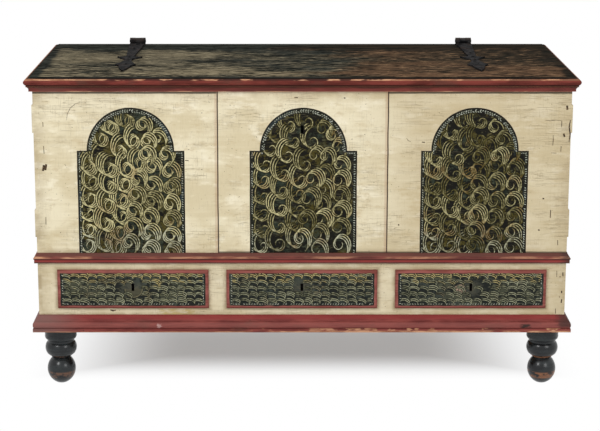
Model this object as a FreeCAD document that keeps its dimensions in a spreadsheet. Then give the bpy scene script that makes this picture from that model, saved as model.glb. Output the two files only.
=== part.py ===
import FreeCAD, Part
import math
import os

import Sketcher
from FreeCAD import Vector

# A painted pine mule chest: a dovetailed chest with a strap-hinged lid over three lipped drawers,
# on four turned feet. Millimetres, +Z up, the front faces -Y and the floor is at Z = 0. The origin
# is under the middle of the chest's own box.

# ---------------------------------------------------------------- driving sizes

SIZES = {
    # the case
    "body_width": 1250,         # over the two side boards
    "body_depth": 540,          # from the front's face to the back's
    "board": 22,                # front, sides, back, rails and stiles
    "case_lift": 143,           # floor to the underside of the case
    "low_rail_height": 62,      # bottom rail, under the drawers
    "opening_height": 80,       # drawer opening
    "stile_width": 31,          # from a side board to the nearest opening
    "muntin_width": 56,         # between two openings
    "high_rail_height": 35,     # top rail, over the drawers
    "chest_height": 411.5,      # dovetailed front board
    "floor_board": 19,          # floor of the chest
    "floor_lap": 4,             # its top stands over the seam of the top rail and front board
    "dust_board": 20,           # bottom board, on which the drawers run
    "dado_depth": 8,
    "tenon_length": 10,
    "tenon_shoulder": 6,
    "partition": 20,
    "guide_height": 25,
    "kicker_reach": 20,
    # the corner dovetails
    "tail_height": 65,
    "tail_pitch": 83.3,
    "first_tail_drop": 77.5,    # rim to the middle of the first whole tail
    "tail_proud": 3,            # the first and fourth tails have crept out of the shrunk sides
    "tail_slope": 0.1667,
    # the lid
    "lid_board": 20,
    "lid_overhang": 18,
    "lid_gap": 0.5,
    "nose_width": 12,           # thumb moulding on three edges
    "nose_quirk": 1.5,
    "nose_drop": 8.5,
    "nose_return": 5,
    "nose_under": 17,
    "cornice_height": 12,       # moulding under the lid
    "cornice_reach": 14,
    "cornice_fascia": 7.5,
    "cornice_fascia_height": 4,
    # the waist and base mouldings
    "waist_drop": 11,           # how far the waist moulding laps the top rail
    "waist_height": 24,
    "waist_reach": 9,
    "waist_fascia": 7.2,
    "waist_fascia_height": 8,
    "waist_bead": 5,
    "base_drop": 2,
    "base_height": 40,
    "base_reach": 14.5,
    "base_fillet": 8,
    "base_band": 16,
    "base_quirk": 2.5,
    "moulding_edge": 2,
    # the turned feet
    "foot_inset": 44,           # from the case's outer faces to a foot's middle
    "foot_pad_radius": 13.47,   # the flat on which the ball stands
    "foot_ball_radius": 33.8,
    "foot_neck_radius": 21,
    "foot_neck_height": 62.5,   # floor to the neck over the ball
    "foot_flare": 10.5,         # neck to the ring's lower corner
    "foot_ring_corner": 33,
    "foot_ring_radius": 37.4,
    "foot_ring_height": 26.5,
    "foot_ring_shoulder": 3,
    "foot_groove_radius": 31.5,
    "foot_groove_width": 5,
    "foot_disc_radius": 38,
    "foot_disc_edge": 11,       # rounded lower edge of the disc that carries the case
    "foot_disc_bulge": 1,
    "foot_tenon_radius": 12.5,
    "foot_tenon_gap": 6,        # tenon's end to the dust board
    "foot_block": 80,
    "wood_fit": 0.05,
    # the drawers
    "lip_overlap": 7,
    "lip_board": 8,
    "lip_gap": 0.3,
    "lip_round": 5,
    "drawer_front": 24,
    "drawer_side": 11,
    "drawer_back": 11,
    "drawer_room": 32.3,        # rear end of a drawer to the back boards
    "side_play": 1,
    "runner_gap": 0.3,
    "head_play": 1.2,
    "side_drop": 3,             # opening's head to the top of a drawer side
    "back_drop": 4,
    "socket_depth": 14,
    "drawer_pin": 9,            # narrow face of a drawer's dovetail pins
    "drawer_slope": 0.2,
    "panel": 9,
    "panel_tongue": 4,
    "panel_bevel": 20,
    "groove_depth": 5,
    "groove_height": 8,
    # the locks
    "keyhole_radius": 4,
    "keyhole_slot": 6.4,
    "keyhole_height": 19,
    "chest_keyhole_drop": 101.5,
    "drawer_keyhole_rise": 6,
    "lock_case_width": 70,
    "lock_case_height": 50,
    "lock_case_depth": 12,
    "lock_keyway_depth": 4,
    "lock_bolt_width": 16,
    "lock_bolt_depth": 5,
    "lock_bolt_length": 20,
    "lock_travel": 8,
    "iron_play": 0.3,
    "bolt_mortise_play": 4,
    "bolt_mortise_spare": 2,
    "chest_lock_width": 110,
    "chest_lock_height": 124,
    "chest_lock_wall": 2.75,    # behind the staple's slot
    "chest_lock_drop": 5,
    "staple_plate_width": 62,
    "staple_plate_depth": 22,
    "staple_plate": 3,
    "staple_length": 22,
    "staple_width": 12,
    "staple_bar": 2.5,
    "staple_board": 5,
    "staple_setback": 15.5,     # front board's inner face to the middle of the staple
    "slot_play": 3.5,
    "chest_bolt_height": 7,
    "chest_bolt_length": 30,
    "chest_bolt_travel": 14,
    # the wrought strap hinges
    "hinge_inset": 201,         # side board's outer face to a strap's middle
    "iron": 4,
    "leaf_gap": 0.3,
    "barrel_radius": 8.5,
    "pin_radius": 3.5,
    "pin_play": 0.1,
    "pin_end": 1,
    "knuckle_width": 13,
    "strap_wide": 40,
    "strap_narrow": 19,
    "strap_length": 231,
    "finial_length": 224,
    "leaflet_reach": 31,
    "lobe_reach": 25,
    "finial_neck": 9.5,
    "lobe_waist": 3,            # how far the finial widens from its neck before the lobe's spikes
    "leaflet_belly": 2,
    "back_leaf_drop": 1.2,      # lid's top to the shoulders of the leaf on the back
    "back_leaf_length": 190,
    "back_leaf_narrow": 18,
}

CLEAR = 1                       # how far a cutting outline runs past the wood it cuts

# Where the middle of a round stretch lies, as shares of its run outwards and of its rise.
WAIST_COVE_RISE = 0.55
BASE_COVE_RISE = 0.45
CORNICE_HOLLOW = (0.28, 0.38)
FOOT_RING_SWELL = 0.42
THUMB_BEND = (0.3, 0.2)
THUMB_UNDER_BEND = (0.28, 0.6)

# Where the leaf finial of a strap changes, as shares of its length from its root.
LEAFLET_CURL = 0.04
LEAFLET_POINT = 0.02
LEAFLET_BELLY = 0.1
NECK_PLACE = 0.19
LOBE_WAIST = 0.41
LOBE_PLACE = 0.58
LOBE_END = (0.6, 0.66)          # share of the lobe's half width, and of the length
TIP_BEND = (0.44, 0.8)

doc = FreeCAD.newDocument("MuleChest")
sheet = doc.addObject("Spreadsheet::Sheet", "Size")
for row, (alias, length) in enumerate(SIZES.items(), start=1):
    sheet.set(f"A{row}", alias)
    sheet.set(f"B{row}", str(length))
    sheet.setAlias(f"B{row}", alias)
doc.recompute()


class Dim:
    """A length that holds its value and the formula that binds it to the sheet."""

    def __init__(self, value, formula):
        self.value = value
        self.formula = formula

    def __add__(self, other):
        other = as_dim(other)
        return Dim(self.value + other.value, f"({self.formula} + {other.formula})")

    def __sub__(self, other):
        other = as_dim(other)
        return Dim(self.value - other.value, f"({self.formula} - {other.formula})")

    def __mul__(self, other):
        other = as_dim(other)
        return Dim(self.value * other.value, f"({self.formula} * {other.formula})")

    def __truediv__(self, other):
        other = as_dim(other)
        return Dim(self.value / other.value, f"({self.formula} / {other.formula})")

    def __neg__(self):
        return Dim(-self.value, f"(-{self.formula})")

    def __radd__(self, other):
        return as_dim(other) + self

    def __rsub__(self, other):
        return as_dim(other) - self

    def __rmul__(self, other):
        return as_dim(other) * self

    def __lt__(self, other):
        return self.value < as_dim(other).value


def as_dim(length):
    return length if isinstance(length, Dim) else Dim(float(length), str(float(length)))


def size(name):
    return Dim(float(SIZES[name]), f"Size.{name}")


# ---------------------------------------------------------------- levels and faces

SIDES = {"left": -1, "right": 1}
DRAWERS = {"left": -1, "middle": 0, "right": 1}

BOARD = size("board")
X_SIDE = size("body_width") / 2                     # outer face of a side board
X_INNER = X_SIDE - BOARD
LEAF_REACH = size("leaf_gap") + size("iron")        # what stands behind the back
Y_FRONT = (size("lid_overhang") - size("body_depth") - LEAF_REACH) / 2
Y_BACK = Y_FRONT + size("body_depth")
Y_INNER_FRONT = Y_FRONT + BOARD
Y_INNER_BACK = Y_BACK - BOARD
Z_CASE = size("case_lift")
Z_SILL = Z_CASE + size("low_rail_height")           # drawer opening, low and high
Z_HEAD = Z_SILL + size("opening_height")
Z_CHEST = Z_HEAD + size("high_rail_height")         # foot of the front and upper back boards
Z_RIM = Z_CHEST + size("chest_height")
Z_LID = Z_RIM + size("lid_gap")
Z_TOP = Z_LID + size("lid_board")
Z_FLOOR_TOP = Z_CHEST + size("floor_lap")
Z_FLOOR = Z_FLOOR_TOP - size("floor_board")
Z_DUST = Z_SILL - size("dust_board")
PITCH = ((X_INNER - size("stile_width")) * 2 + size("muntin_width")) / len(DRAWERS)
OPENING = (PITCH - size("muntin_width")) / 2        # half of a drawer opening
Y_PIN = Y_BACK + LEAF_REACH - size("barrel_radius")
Z_PIN = Z_TOP + size("barrel_radius")


# ---------------------------------------------------------------- modelling tools

pieces = []


def add_piece(thing, label):
    thing.Label = label
    pieces.append(thing)
    return thing


def new_body(label):
    return add_piece(doc.addObject("PartDesign::Body", label), label)


def via(x, y):
    """A point in the middle of a round stretch, between two corners of an outline."""
    return (x, y, "arc")


def flat(point):
    return Vector(as_dim(point[0]).value, as_dim(point[1]).value, 0)


def bind_point(sketch, part, end, point):
    """Fix one point of a sketch at a place measured from the sketch's origin."""
    for kind, place in (("DistanceX", point[0]), ("DistanceY", point[1])):
        place = as_dim(place)
        index = sketch.addConstraint(Sketcher.Constraint(kind, -1, 1, part, end, place.value))
        if "Size." in place.formula:
            sketch.setExpression(f"Constraints[{index}]", place.formula)


def draw_circle(sketch, x, y, radius):
    radius = as_dim(radius)
    curve = Part.Circle(flat((x, y)), Vector(0, 0, 1), radius.value)
    part = sketch.addGeometry(curve, False)
    bind_point(sketch, part, 3, (x, y))
    index = sketch.addConstraint(Sketcher.Constraint("Radius", part, radius.value))
    sketch.setExpression(f"Constraints[{index}]", radius.formula)


def draw_outline(sketch, outline):
    """Draw a closed outline of corners, with a via() point wherever an edge is round."""
    corners = [point for point in outline if len(point) == 2]
    curves = []
    middles = []
    for index, point in enumerate(outline):
        if len(point) == 3:
            continue
        after = outline[(index + 1) % len(outline)]
        if len(after) == 3:
            end = outline[(index + 2) % len(outline)]
            curves.append(Part.Arc(flat(point), flat(after), flat(end)))
            middles.append((len(curves) - 1, after))
        else:
            curves.append(Part.LineSegment(flat(point), flat(after)))
    parts = sketch.addGeometry(curves, False)

    def end_at(part, point):
        return 1 if sketch.getPoint(part, 1).distanceToPoint(flat(point)) < 1e-6 else 2

    joins = []
    for index, part in enumerate(parts):
        following = parts[(index + 1) % len(parts)]
        corner = corners[(index + 1) % len(corners)]
        joins.append(Sketcher.Constraint("Coincident", part, end_at(part, corner),
                                         following, end_at(following, corner)))
    starts = [end_at(part, corner) for part, corner in zip(parts, corners)]
    sketch.addConstraint(joins)
    for part, start, corner in zip(parts, starts, corners):
        bind_point(sketch, part, start, corner)
    for index, middle in middles:
        mark = sketch.addGeometry(Part.Point(flat(middle)), True)
        bind_point(sketch, mark, 1, middle)
        sketch.addConstraint(Sketcher.Constraint("PointOnObject", mark, 1, parts[index]))


def new_sketch(body, plane, outlines, offset=0):
    """A sketch on one of the body's origin planes, moved along the plane's normal."""
    sketch = body.newObject("Sketcher::SketchObject", "Sketch")
    support = next(item for item in body.Origin.OriginFeatures if item.Role == plane)
    sketch.AttachmentSupport = [(support, "")]
    sketch.MapMode = "FlatFace"
    offset = as_dim(offset)
    sketch.AttachmentOffset.Base.z = offset.value
    if "Size." in offset.formula:
        sketch.setExpression("AttachmentOffset.Base.z", offset.formula)
    for outline in outlines:
        if outline[0] == "circle":
            draw_circle(sketch, *outline[1:])
        else:
            draw_outline(sketch, outline)
    return sketch


def extrude(body, plane, outlines, low, high):
    """Pad outlines between two places on the axis across the plane."""
    start = -as_dim(high) if plane == "XZ_Plane" else low
    pad = body.newObject("PartDesign::Pad", "Pad")
    pad.Profile = new_sketch(body, plane, outlines, start)
    pad.setExpression("Length", (as_dim(high) - low).formula)
    body.Tip = pad
    return pad


def cut(body, plane, outlines, low, high):
    """Pocket outlines between two places on the axis across the plane."""
    start = -as_dim(low) if plane == "XZ_Plane" else high
    doc.recompute()
    before = body.Shape.Volume
    pocket = body.newObject("PartDesign::Pocket", "Pocket")
    pocket.Profile = new_sketch(body, plane, outlines, start)
    pocket.setExpression("Length", (as_dim(high) - low).formula)
    body.Tip = pocket
    doc.recompute()
    if body.Shape.Volume > before - 0.01:
        raise RuntimeError(f"{body.Label}: {pocket.Name} cuts nothing")
    return pocket


def rectangle(x_low, x_high, y_low, y_high):
    return [(x_low, y_low), (x_high, y_low), (x_high, y_high), (x_low, y_high)]


def handed(side, low, high):
    """A span on the right of the middle, or the same span mirrored to the left."""
    return (low, high) if side > 0 else (-as_dim(high), -as_dim(low))


def new_box(name, x, y, z):
    """A plain stick between two places along each axis."""
    box = doc.addObject("Part::Box", name)
    for (low, high), length, axis in zip((x, y, z), ("Length", "Width", "Height"), "xyz"):
        box.setExpression(length, (as_dim(high) - low).formula)
        box.setExpression(f"Placement.Base.{axis}", as_dim(low).formula)
    return box


def group(label, members):
    compound = doc.addObject("Part::Compound", label)
    compound.Links = members
    return add_piece(compound, label)


def place(thing, **offsets):
    for axis, offset in offsets.items():
        thing.setExpression(f"Placement.Base.{axis}", as_dim(offset).formula)


# ---------------------------------------------------------------- dovetails

class Tail:
    """One dovetail: where it starts and ends at its root, and at its flared tip."""

    def __init__(self, middle, height, depth, slope, proud=0):
        self.root = (middle - height / 2 + depth * slope, middle + height / 2 - depth * slope)
        self.tip = (middle - height / 2, middle + height / 2)
        self.proud = proud

    def clipped(self, low, high):
        """The same tail, stopped square at the edges of its board."""
        self.root = (max(self.root[0], low), min(self.root[1], high))
        self.tip = (max(self.tip[0], low), min(self.tip[1], high))
        return self


def corner_tails():
    """The chest's corner tails, from the foot of the front board up to its rim."""
    pitch = size("tail_pitch")
    first = Z_RIM - size("first_tail_drop")
    reach = size("tail_height") / 2
    count = math.ceil((first - Z_CHEST + reach).value / pitch.value)
    tails = []
    for number in reversed(range(-1, count)):
        proud = size("tail_proud") if number in (0, 3) else 0
        tail = Tail(first - pitch * number, size("tail_height"), BOARD, size("tail_slope"), proud)
        if tail.root[0] < Z_RIM and Z_CHEST < tail.root[1]:
            tails.append(tail.clipped(Z_CHEST, Z_RIM))
    return tails


def same_place(first, second):
    return flat(first).distanceToPoint(flat(second)) < 1e-6


def tailed_board(tails, shoulder, tip, low, high):
    """Outline of a board with flared tails at both ends, and its proud tails run on."""
    edge = [(shoulder, low)]
    for tail in tails:
        edge.append((shoulder, tail.root[0]))
        edge.append((tip, tail.tip[0]))
        if tail.proud:
            edge.append((tip + tail.proud, tail.tip[0]))
            edge.append((tip + tail.proud, tail.tip[1]))
        edge.append((tip, tail.tip[1]))
        edge.append((shoulder, tail.root[1]))
    edge.append((shoulder, high))
    right = [edge[0]]
    for point in edge[1:]:
        if not same_place(point, right[-1]):
            right.append(point)
    left = [(-as_dim(x), z) for x, z in reversed(right)]
    return right + left


def sockets(side, tails, shoulder, tip, rim):
    """Outlines of the sockets for tails that point away from the middle."""
    outlines = []
    for tail in tails:
        over = CLEAR if not tail.tip[1] < rim else 0
        outline = [(shoulder, tail.root[0]), (tip, tail.tip[0]), (tip + CLEAR, tail.tip[0]),
                   (tip + CLEAR, tail.tip[1] + over), (tip, tail.tip[1] + over),
                   (shoulder, tail.root[1] + over)]
        outlines.append([(as_dim(x) * side, z) for x, z in outline])
    return outlines


# ---------------------------------------------------------------- the case

def side_boards():
    tails = corner_tails()
    for name, side in SIDES.items():
        body = new_body(f"side_{name}")
        wood = rectangle(Y_FRONT, Y_BACK, Z_CASE, Z_RIM)
        extrude(body, "YZ_Plane", [wood], *handed(side, X_INNER, X_SIDE))
        for low, high in ((Y_FRONT, Y_INNER_FRONT), (Y_INNER_BACK, Y_BACK)):
            cut(body, "XZ_Plane", sockets(side, tails, X_INNER, X_SIDE, Z_RIM), low, high)
        floor = rectangle(Y_INNER_FRONT, Y_INNER_BACK, Z_FLOOR, Z_FLOOR_TOP)
        dust = rectangle(Y_INNER_FRONT, Y_INNER_BACK, Z_DUST, Z_SILL)
        cut(body, "YZ_Plane", [floor, dust],
            *handed(side, X_INNER, X_INNER + size("dado_depth")))
        mortises = [tenon_section(Z_CASE, Z_SILL), tenon_section(Z_HEAD, Z_CHEST)]
        cut(body, "YZ_Plane", mortises, *handed(side, X_INNER, X_INNER + size("tenon_length")))


def tenon_section(low, high):
    """Section of a rail's tenon, set in from the rail's four faces."""
    shoulder = size("tenon_shoulder")
    return rectangle(Y_FRONT + shoulder, Y_INNER_FRONT - shoulder, low + shoulder, high - shoulder)


def front_board():
    body = new_body("front_board")
    outline = tailed_board(corner_tails(), X_INNER, X_SIDE, Z_CHEST, Z_RIM)
    extrude(body, "XZ_Plane", [outline], Y_FRONT, Y_INNER_FRONT)
    hole = keyhole(0, Z_RIM - size("chest_keyhole_drop"))
    cut(body, "XZ_Plane", [hole], Y_FRONT, Y_INNER_FRONT)


def back_boards():
    upper = new_body("back_upper")
    outline = tailed_board(corner_tails(), X_INNER, X_SIDE, Z_CHEST, Z_RIM)
    extrude(upper, "XZ_Plane", [outline], Y_INNER_BACK, Y_BACK)
    lower = new_box("back_lower", (-X_INNER, X_INNER), (Y_INNER_BACK, Y_BACK), (Z_CASE, Z_CHEST))
    add_piece(lower, "back_lower")


def floor_boards():
    reach = X_INNER + size("dado_depth")
    span = (Y_INNER_FRONT, Y_INNER_BACK)
    boards = {"chest_floor": (Z_FLOOR, Z_FLOOR_TOP), "dust_board": (Z_DUST, Z_SILL)}
    for label, heights in boards.items():
        add_piece(new_box(label, (-reach, reach), span, heights), label)


def muntin_tenon(x):
    """Section, seen from above, of the tenon at each end of a stile or muntin."""
    shoulder = size("tenon_shoulder")
    width = size("muntin_width") / 2 - shoulder
    return rectangle(x - width, x + width, Y_FRONT + shoulder, Y_INNER_FRONT - shoulder)


def rails():
    uprights = [muntin_tenon(PITCH * side / 2) for side in SIDES.values()]
    depth = size("tenon_length")
    for name, low, high in (("rail_bottom", Z_CASE, Z_SILL), ("rail_top", Z_HEAD, Z_CHEST)):
        body = new_body(name)
        wood = rectangle(-X_INNER, X_INNER, low, high)
        extrude(body, "XZ_Plane", [wood], Y_FRONT, Y_INNER_FRONT)
        reach = X_INNER + depth
        extrude(body, "YZ_Plane", [tenon_section(low, high)], -reach, reach)
        if name == "rail_bottom":
            cut(body, "XY_Plane", uprights, high - depth, high)
        else:
            cut(body, "XY_Plane", uprights, low, low + depth)
            half = size("lock_bolt_width") / 2 + size("bolt_mortise_play")
            deep = size("lock_bolt_depth") / 2 + size("bolt_mortise_play")
            bolts = [rectangle(PITCH * side - half, PITCH * side + half,
                               Y_DRAWER_BOLT - deep, Y_DRAWER_BOLT + deep)
                     for side in DRAWERS.values()]
            sunk = size("lock_travel") + size("bolt_mortise_spare")
            cut(body, "XY_Plane", bolts, low, low + sunk)


def uprights():
    half = size("muntin_width") / 2
    depth = size("tenon_length")
    for name, side in SIDES.items():
        body = new_body(f"muntin_{name}")
        x = PITCH * side / 2
        wood = rectangle(x - half, x + half, Z_SILL, Z_HEAD)
        extrude(body, "XZ_Plane", [wood], Y_FRONT, Y_INNER_FRONT)
        extrude(body, "XY_Plane", [muntin_tenon(x)], Z_SILL - depth, Z_HEAD + depth)
    stiles = []
    for name, side in SIDES.items():
        span = handed(side, X_INNER - size("stile_width"), X_INNER)
        stiles.append(new_box(f"stile_{name}", span, (Y_FRONT, Y_INNER_FRONT), (Z_SILL, Z_HEAD)))
    group("stiles", stiles)


def partitions():
    half = size("partition") / 2
    for name, side in SIDES.items():
        x = PITCH * side / 2
        wood = new_box(f"partition_{name}", (x - half, x + half),
                       (Y_INNER_FRONT, Y_INNER_BACK), (Z_SILL, Z_FLOOR))
        add_piece(wood, f"partition_{name}")


def drawer_guides():
    """Strips that guide the drawer sides and the kickers that stop a drawer from tipping."""
    span = (Y_INNER_FRONT, Y_INNER_BACK)
    strips = []
    for drawer, place_x in DRAWERS.items():
        for name, side in SIDES.items():
            middle = PITCH * place_x
            face = X_INNER if place_x == side else PITCH / 2 - size("partition") / 2
            wall = face if place_x == side else middle * side + face
            inner = middle * side + OPENING
            guide = new_box(f"guide_{drawer}_{name}", handed(side, inner, wall), span,
                            (Z_SILL, Z_SILL + size("guide_height")))
            kicker = new_box(f"kicker_{drawer}_{name}",
                             handed(side, inner - size("kicker_reach"), wall), span,
                             (Z_HEAD, Z_FLOOR))
            strips.extend([guide, kicker])
    group("drawer_guides", strips)


# ---------------------------------------------------------------- mouldings

def mould_run(name, profile, reach, face_x, face_y):
    """A moulding round the front and both sides, in three lengths mitred at the corners.

    The profile's points are (distance out from the face, height); face_x and face_y are the
    faces that it is nailed to.
    """
    past = reach + CLEAR
    outline = [(face_y - point[0],) + tuple(point[1:]) for point in profile]
    low = min(as_dim(point[1]) for point in profile) - CLEAR
    high = max(as_dim(point[1]) for point in profile) + CLEAR
    front = new_body(f"{name}_front")
    extrude(front, "YZ_Plane", [outline], -(face_x + reach), face_x + reach)
    for side in SIDES.values():
        waste = [(face_x - CLEAR, face_y + CLEAR), (face_x + past, face_y - past),
                 (face_x + past, face_y + CLEAR)]
        waste = [(x * side, y) for x, y in waste]
        cut(front, "XY_Plane", [waste], low, high)
    for label, side in SIDES.items():
        body = new_body(f"{name}_{label}")
        outline = [((face_x + point[0]) * side,) + tuple(point[1:]) for point in profile]
        extrude(body, "XZ_Plane", [outline], face_y - reach, Y_BACK)
        waste = [(face_x - CLEAR, face_y + CLEAR), (face_x + past, face_y - past),
                 (face_x - CLEAR, face_y - past)]
        waste = [(x * side, y) for x, y in waste]
        cut(body, "XY_Plane", [waste], low, high)


def waist_moulding():
    z = Z_CHEST - size("waist_drop")
    fascia = size("waist_fascia")
    bead_low = z + size("waist_fascia_height") + size("moulding_edge") / 2
    bead_high = bead_low + size("waist_bead")
    top = z + size("waist_height")
    edge = size("moulding_edge")
    cove = bead_high + (top - bead_high) * WAIST_COVE_RISE
    profile = [(0, z), (fascia, z), (fascia, bead_low - edge / 2), (fascia - edge, bead_low),
               via(size("waist_reach"), (bead_low + bead_high) / 2), (fascia - edge / 2, bead_high),
               via(edge * 2, cove), (edge, top - edge / 2), (edge, top), (0, top)]
    mould_run("waist_moulding", profile, size("waist_reach"), X_SIDE, Y_FRONT)


def base_moulding():
    z = Z_CASE - size("base_drop")
    reach = size("base_reach")
    quirk = size("base_quirk")
    band_low = z + size("base_fillet") + quirk / 2
    band_high = band_low + size("base_band")
    top = z + size("base_height")
    edge = size("moulding_edge")
    cove = band_high + (top - band_high) * BASE_COVE_RISE
    profile = [(0, z), (reach, z), (reach, band_low - quirk / 2), (reach - quirk, band_low),
               via(reach, (band_low + band_high) / 2), (reach - quirk, band_high),
               (reach - quirk * 2, band_high + quirk / 2),
               via(reach / 2 - quirk / 2, cove), (edge, top - edge), (edge, top), (0, top)]
    mould_run("base_moulding", profile, reach, X_SIDE, Y_FRONT)


def lid_cornice():
    """The moulding under the lid, which closes round the chest's rim."""
    gap = size("lid_gap")
    low = Z_LID - size("cornice_height")
    fascia = size("cornice_fascia")
    reach = size("cornice_reach")
    step = low + size("cornice_fascia_height")
    run, drop = CORNICE_HOLLOW
    hollow = via(fascia + (reach - fascia) * run - gap, Z_LID - (Z_LID - step) * drop)
    profile = [(0, low), (fascia - gap, low), (fascia - gap, step), hollow,
               (reach - gap, Z_LID), (0, Z_LID)]
    mould_run("lid_cornice", profile, reach - gap, X_SIDE + gap, Y_FRONT - gap)


# ---------------------------------------------------------------- the turned feet

def feet():
    """Turned ball feet, each with a tenon up into a corner block."""
    pad = size("foot_pad_radius")
    ball = size("foot_ball_radius")
    middle = math.sqrt(ball.value ** 2 - pad.value ** 2)
    neck = size("foot_neck_radius")
    neck_z = size("foot_neck_height")
    ring = size("foot_ring_radius")
    ring_low = neck_z + size("foot_flare")
    ring_high = ring_low + size("foot_ring_height")
    groove = size("foot_groove_radius")
    groove_low = ring_high + size("foot_ring_shoulder")
    groove_high = groove_low + size("foot_groove_width")
    disc = size("foot_disc_radius")
    disc_low = groove_high + size("foot_disc_edge")
    bulge = size("foot_disc_bulge")
    tenon = size("foot_tenon_radius")
    tenon_top = Z_DUST - size("foot_tenon_gap")
    swell = ring_low + size("foot_ring_height") * FOOT_RING_SWELL
    profile = [(0, 0), (pad, 0), via(ball, middle), (neck, neck_z),
               (size("foot_ring_corner"), ring_low), via(ring, swell),
               ((groove + ring) / 2, ring_high), (groove, groove_low), (groove, groove_high),
               via(disc - bulge, (groove_high + disc_low) / 2 - bulge), (disc, disc_low),
               (disc, Z_CASE), (tenon, Z_CASE), (tenon, tenon_top), (0, tenon_top)]
    for row, y in (("front", Y_FRONT + size("foot_inset")), ("back", Y_BACK - size("foot_inset"))):
        for name, side in SIDES.items():
            body = new_body(f"foot_{row}_{name}")
            turning = body.newObject("PartDesign::Revolution", "Turning")
            sketch = new_sketch(body, "XZ_Plane", [profile])
            turning.Profile = sketch
            turning.ReferenceAxis = (sketch, ["V_Axis"])
            turning.Angle = 360
            body.Tip = turning
            place(body, x=(X_SIDE - size("foot_inset")) * side, y=y)


def foot_blocks():
    """Corner blocks under the dust board, bored for the feet."""
    width = size("foot_block")
    inset = size("foot_inset")
    blocks = []
    for row, y in (("front", (Y_INNER_FRONT, Y_INNER_FRONT + width)),
                   ("back", (Y_INNER_BACK - width, Y_INNER_BACK))):
        for name, side in SIDES.items():
            wood = new_box(f"block_{row}_{name}", handed(side, X_INNER - width, X_INNER), y,
                           (Z_CASE, Z_DUST))
            bore = doc.addObject("Part::Cylinder", f"bore_{row}_{name}")
            bore.setExpression("Radius", (size("foot_tenon_radius") + size("wood_fit")).formula)
            bore.setExpression("Height", (Z_DUST - Z_CASE + CLEAR * 2).formula)
            middle = Y_FRONT + inset if row == "front" else Y_BACK - inset
            place(bore, x=(X_SIDE - inset) * side, y=middle, z=Z_CASE - CLEAR)
            block = doc.addObject("Part::Cut", f"bored_block_{row}_{name}")
            block.Base = wood
            block.Tool = bore
            blocks.append(block)
    group("foot_blocks", blocks)


# ---------------------------------------------------------------- locks

Y_LIP = Y_FRONT - size("lip_gap") - size("lip_board")       # face of a drawer's lip
Y_DRAWER = Y_LIP + size("drawer_front")                     # back of a drawer's front
Z_DRAWER = Z_SILL + size("runner_gap")
Z_DRAWER_TOP = Z_HEAD - size("head_play")
X_DRAWER = OPENING - size("side_play")
Y_DRAWER_BOLT = Y_DRAWER - size("lock_case_depth") / 2
Z_DRAWER_KEYHOLE = (Z_SILL + Z_HEAD) / 2 + size("drawer_keyhole_rise")


def keyhole(x, z):
    """A round-headed slot, centred on its height."""
    head = size("keyhole_radius")
    slot = size("keyhole_slot") / 2
    half = size("keyhole_height") / 2
    middle = z + half - head
    drop = math.sqrt(head.value ** 2 - slot.value ** 2)
    return [(x - slot, z - half), (x + slot, z - half), (x + slot, middle - drop),
            via(x, z + half), (x - slot, middle - drop)]


def drawer_lock(drawer, x):
    """An iron half-mortise lock, let into the back of a drawer front, and its bolt."""
    half = size("lock_case_width") / 2
    low = Z_DRAWER_TOP - size("lock_case_height")
    front = Y_DRAWER - size("lock_case_depth")
    case = new_body(f"drawer_{drawer}_lock")
    extrude(case, "XZ_Plane", [rectangle(-half, half, low, Z_DRAWER_TOP)], front, Y_DRAWER)
    cut(case, "XZ_Plane", [keyhole(0, Z_DRAWER_KEYHOLE)], front,
        front + size("lock_keyway_depth"))
    width = size("lock_bolt_width") / 2
    depth = size("lock_bolt_depth") / 2
    play = size("iron_play")
    top = Z_DRAWER_TOP - play
    foot = top - size("lock_bolt_length")
    channel = rectangle(-width - play, width + play, Y_DRAWER_BOLT - depth - play,
                        Y_DRAWER_BOLT + depth + play)
    cut(case, "XY_Plane", [channel], foot - play, Z_DRAWER_TOP)
    place(case, x=x)
    bolt = new_box(f"drawer_{drawer}_bolt", (x - width, x + width),
                   (Y_DRAWER_BOLT - depth, Y_DRAWER_BOLT + depth), (foot, top))
    add_piece(bolt, f"drawer_{drawer}_bolt")


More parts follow.
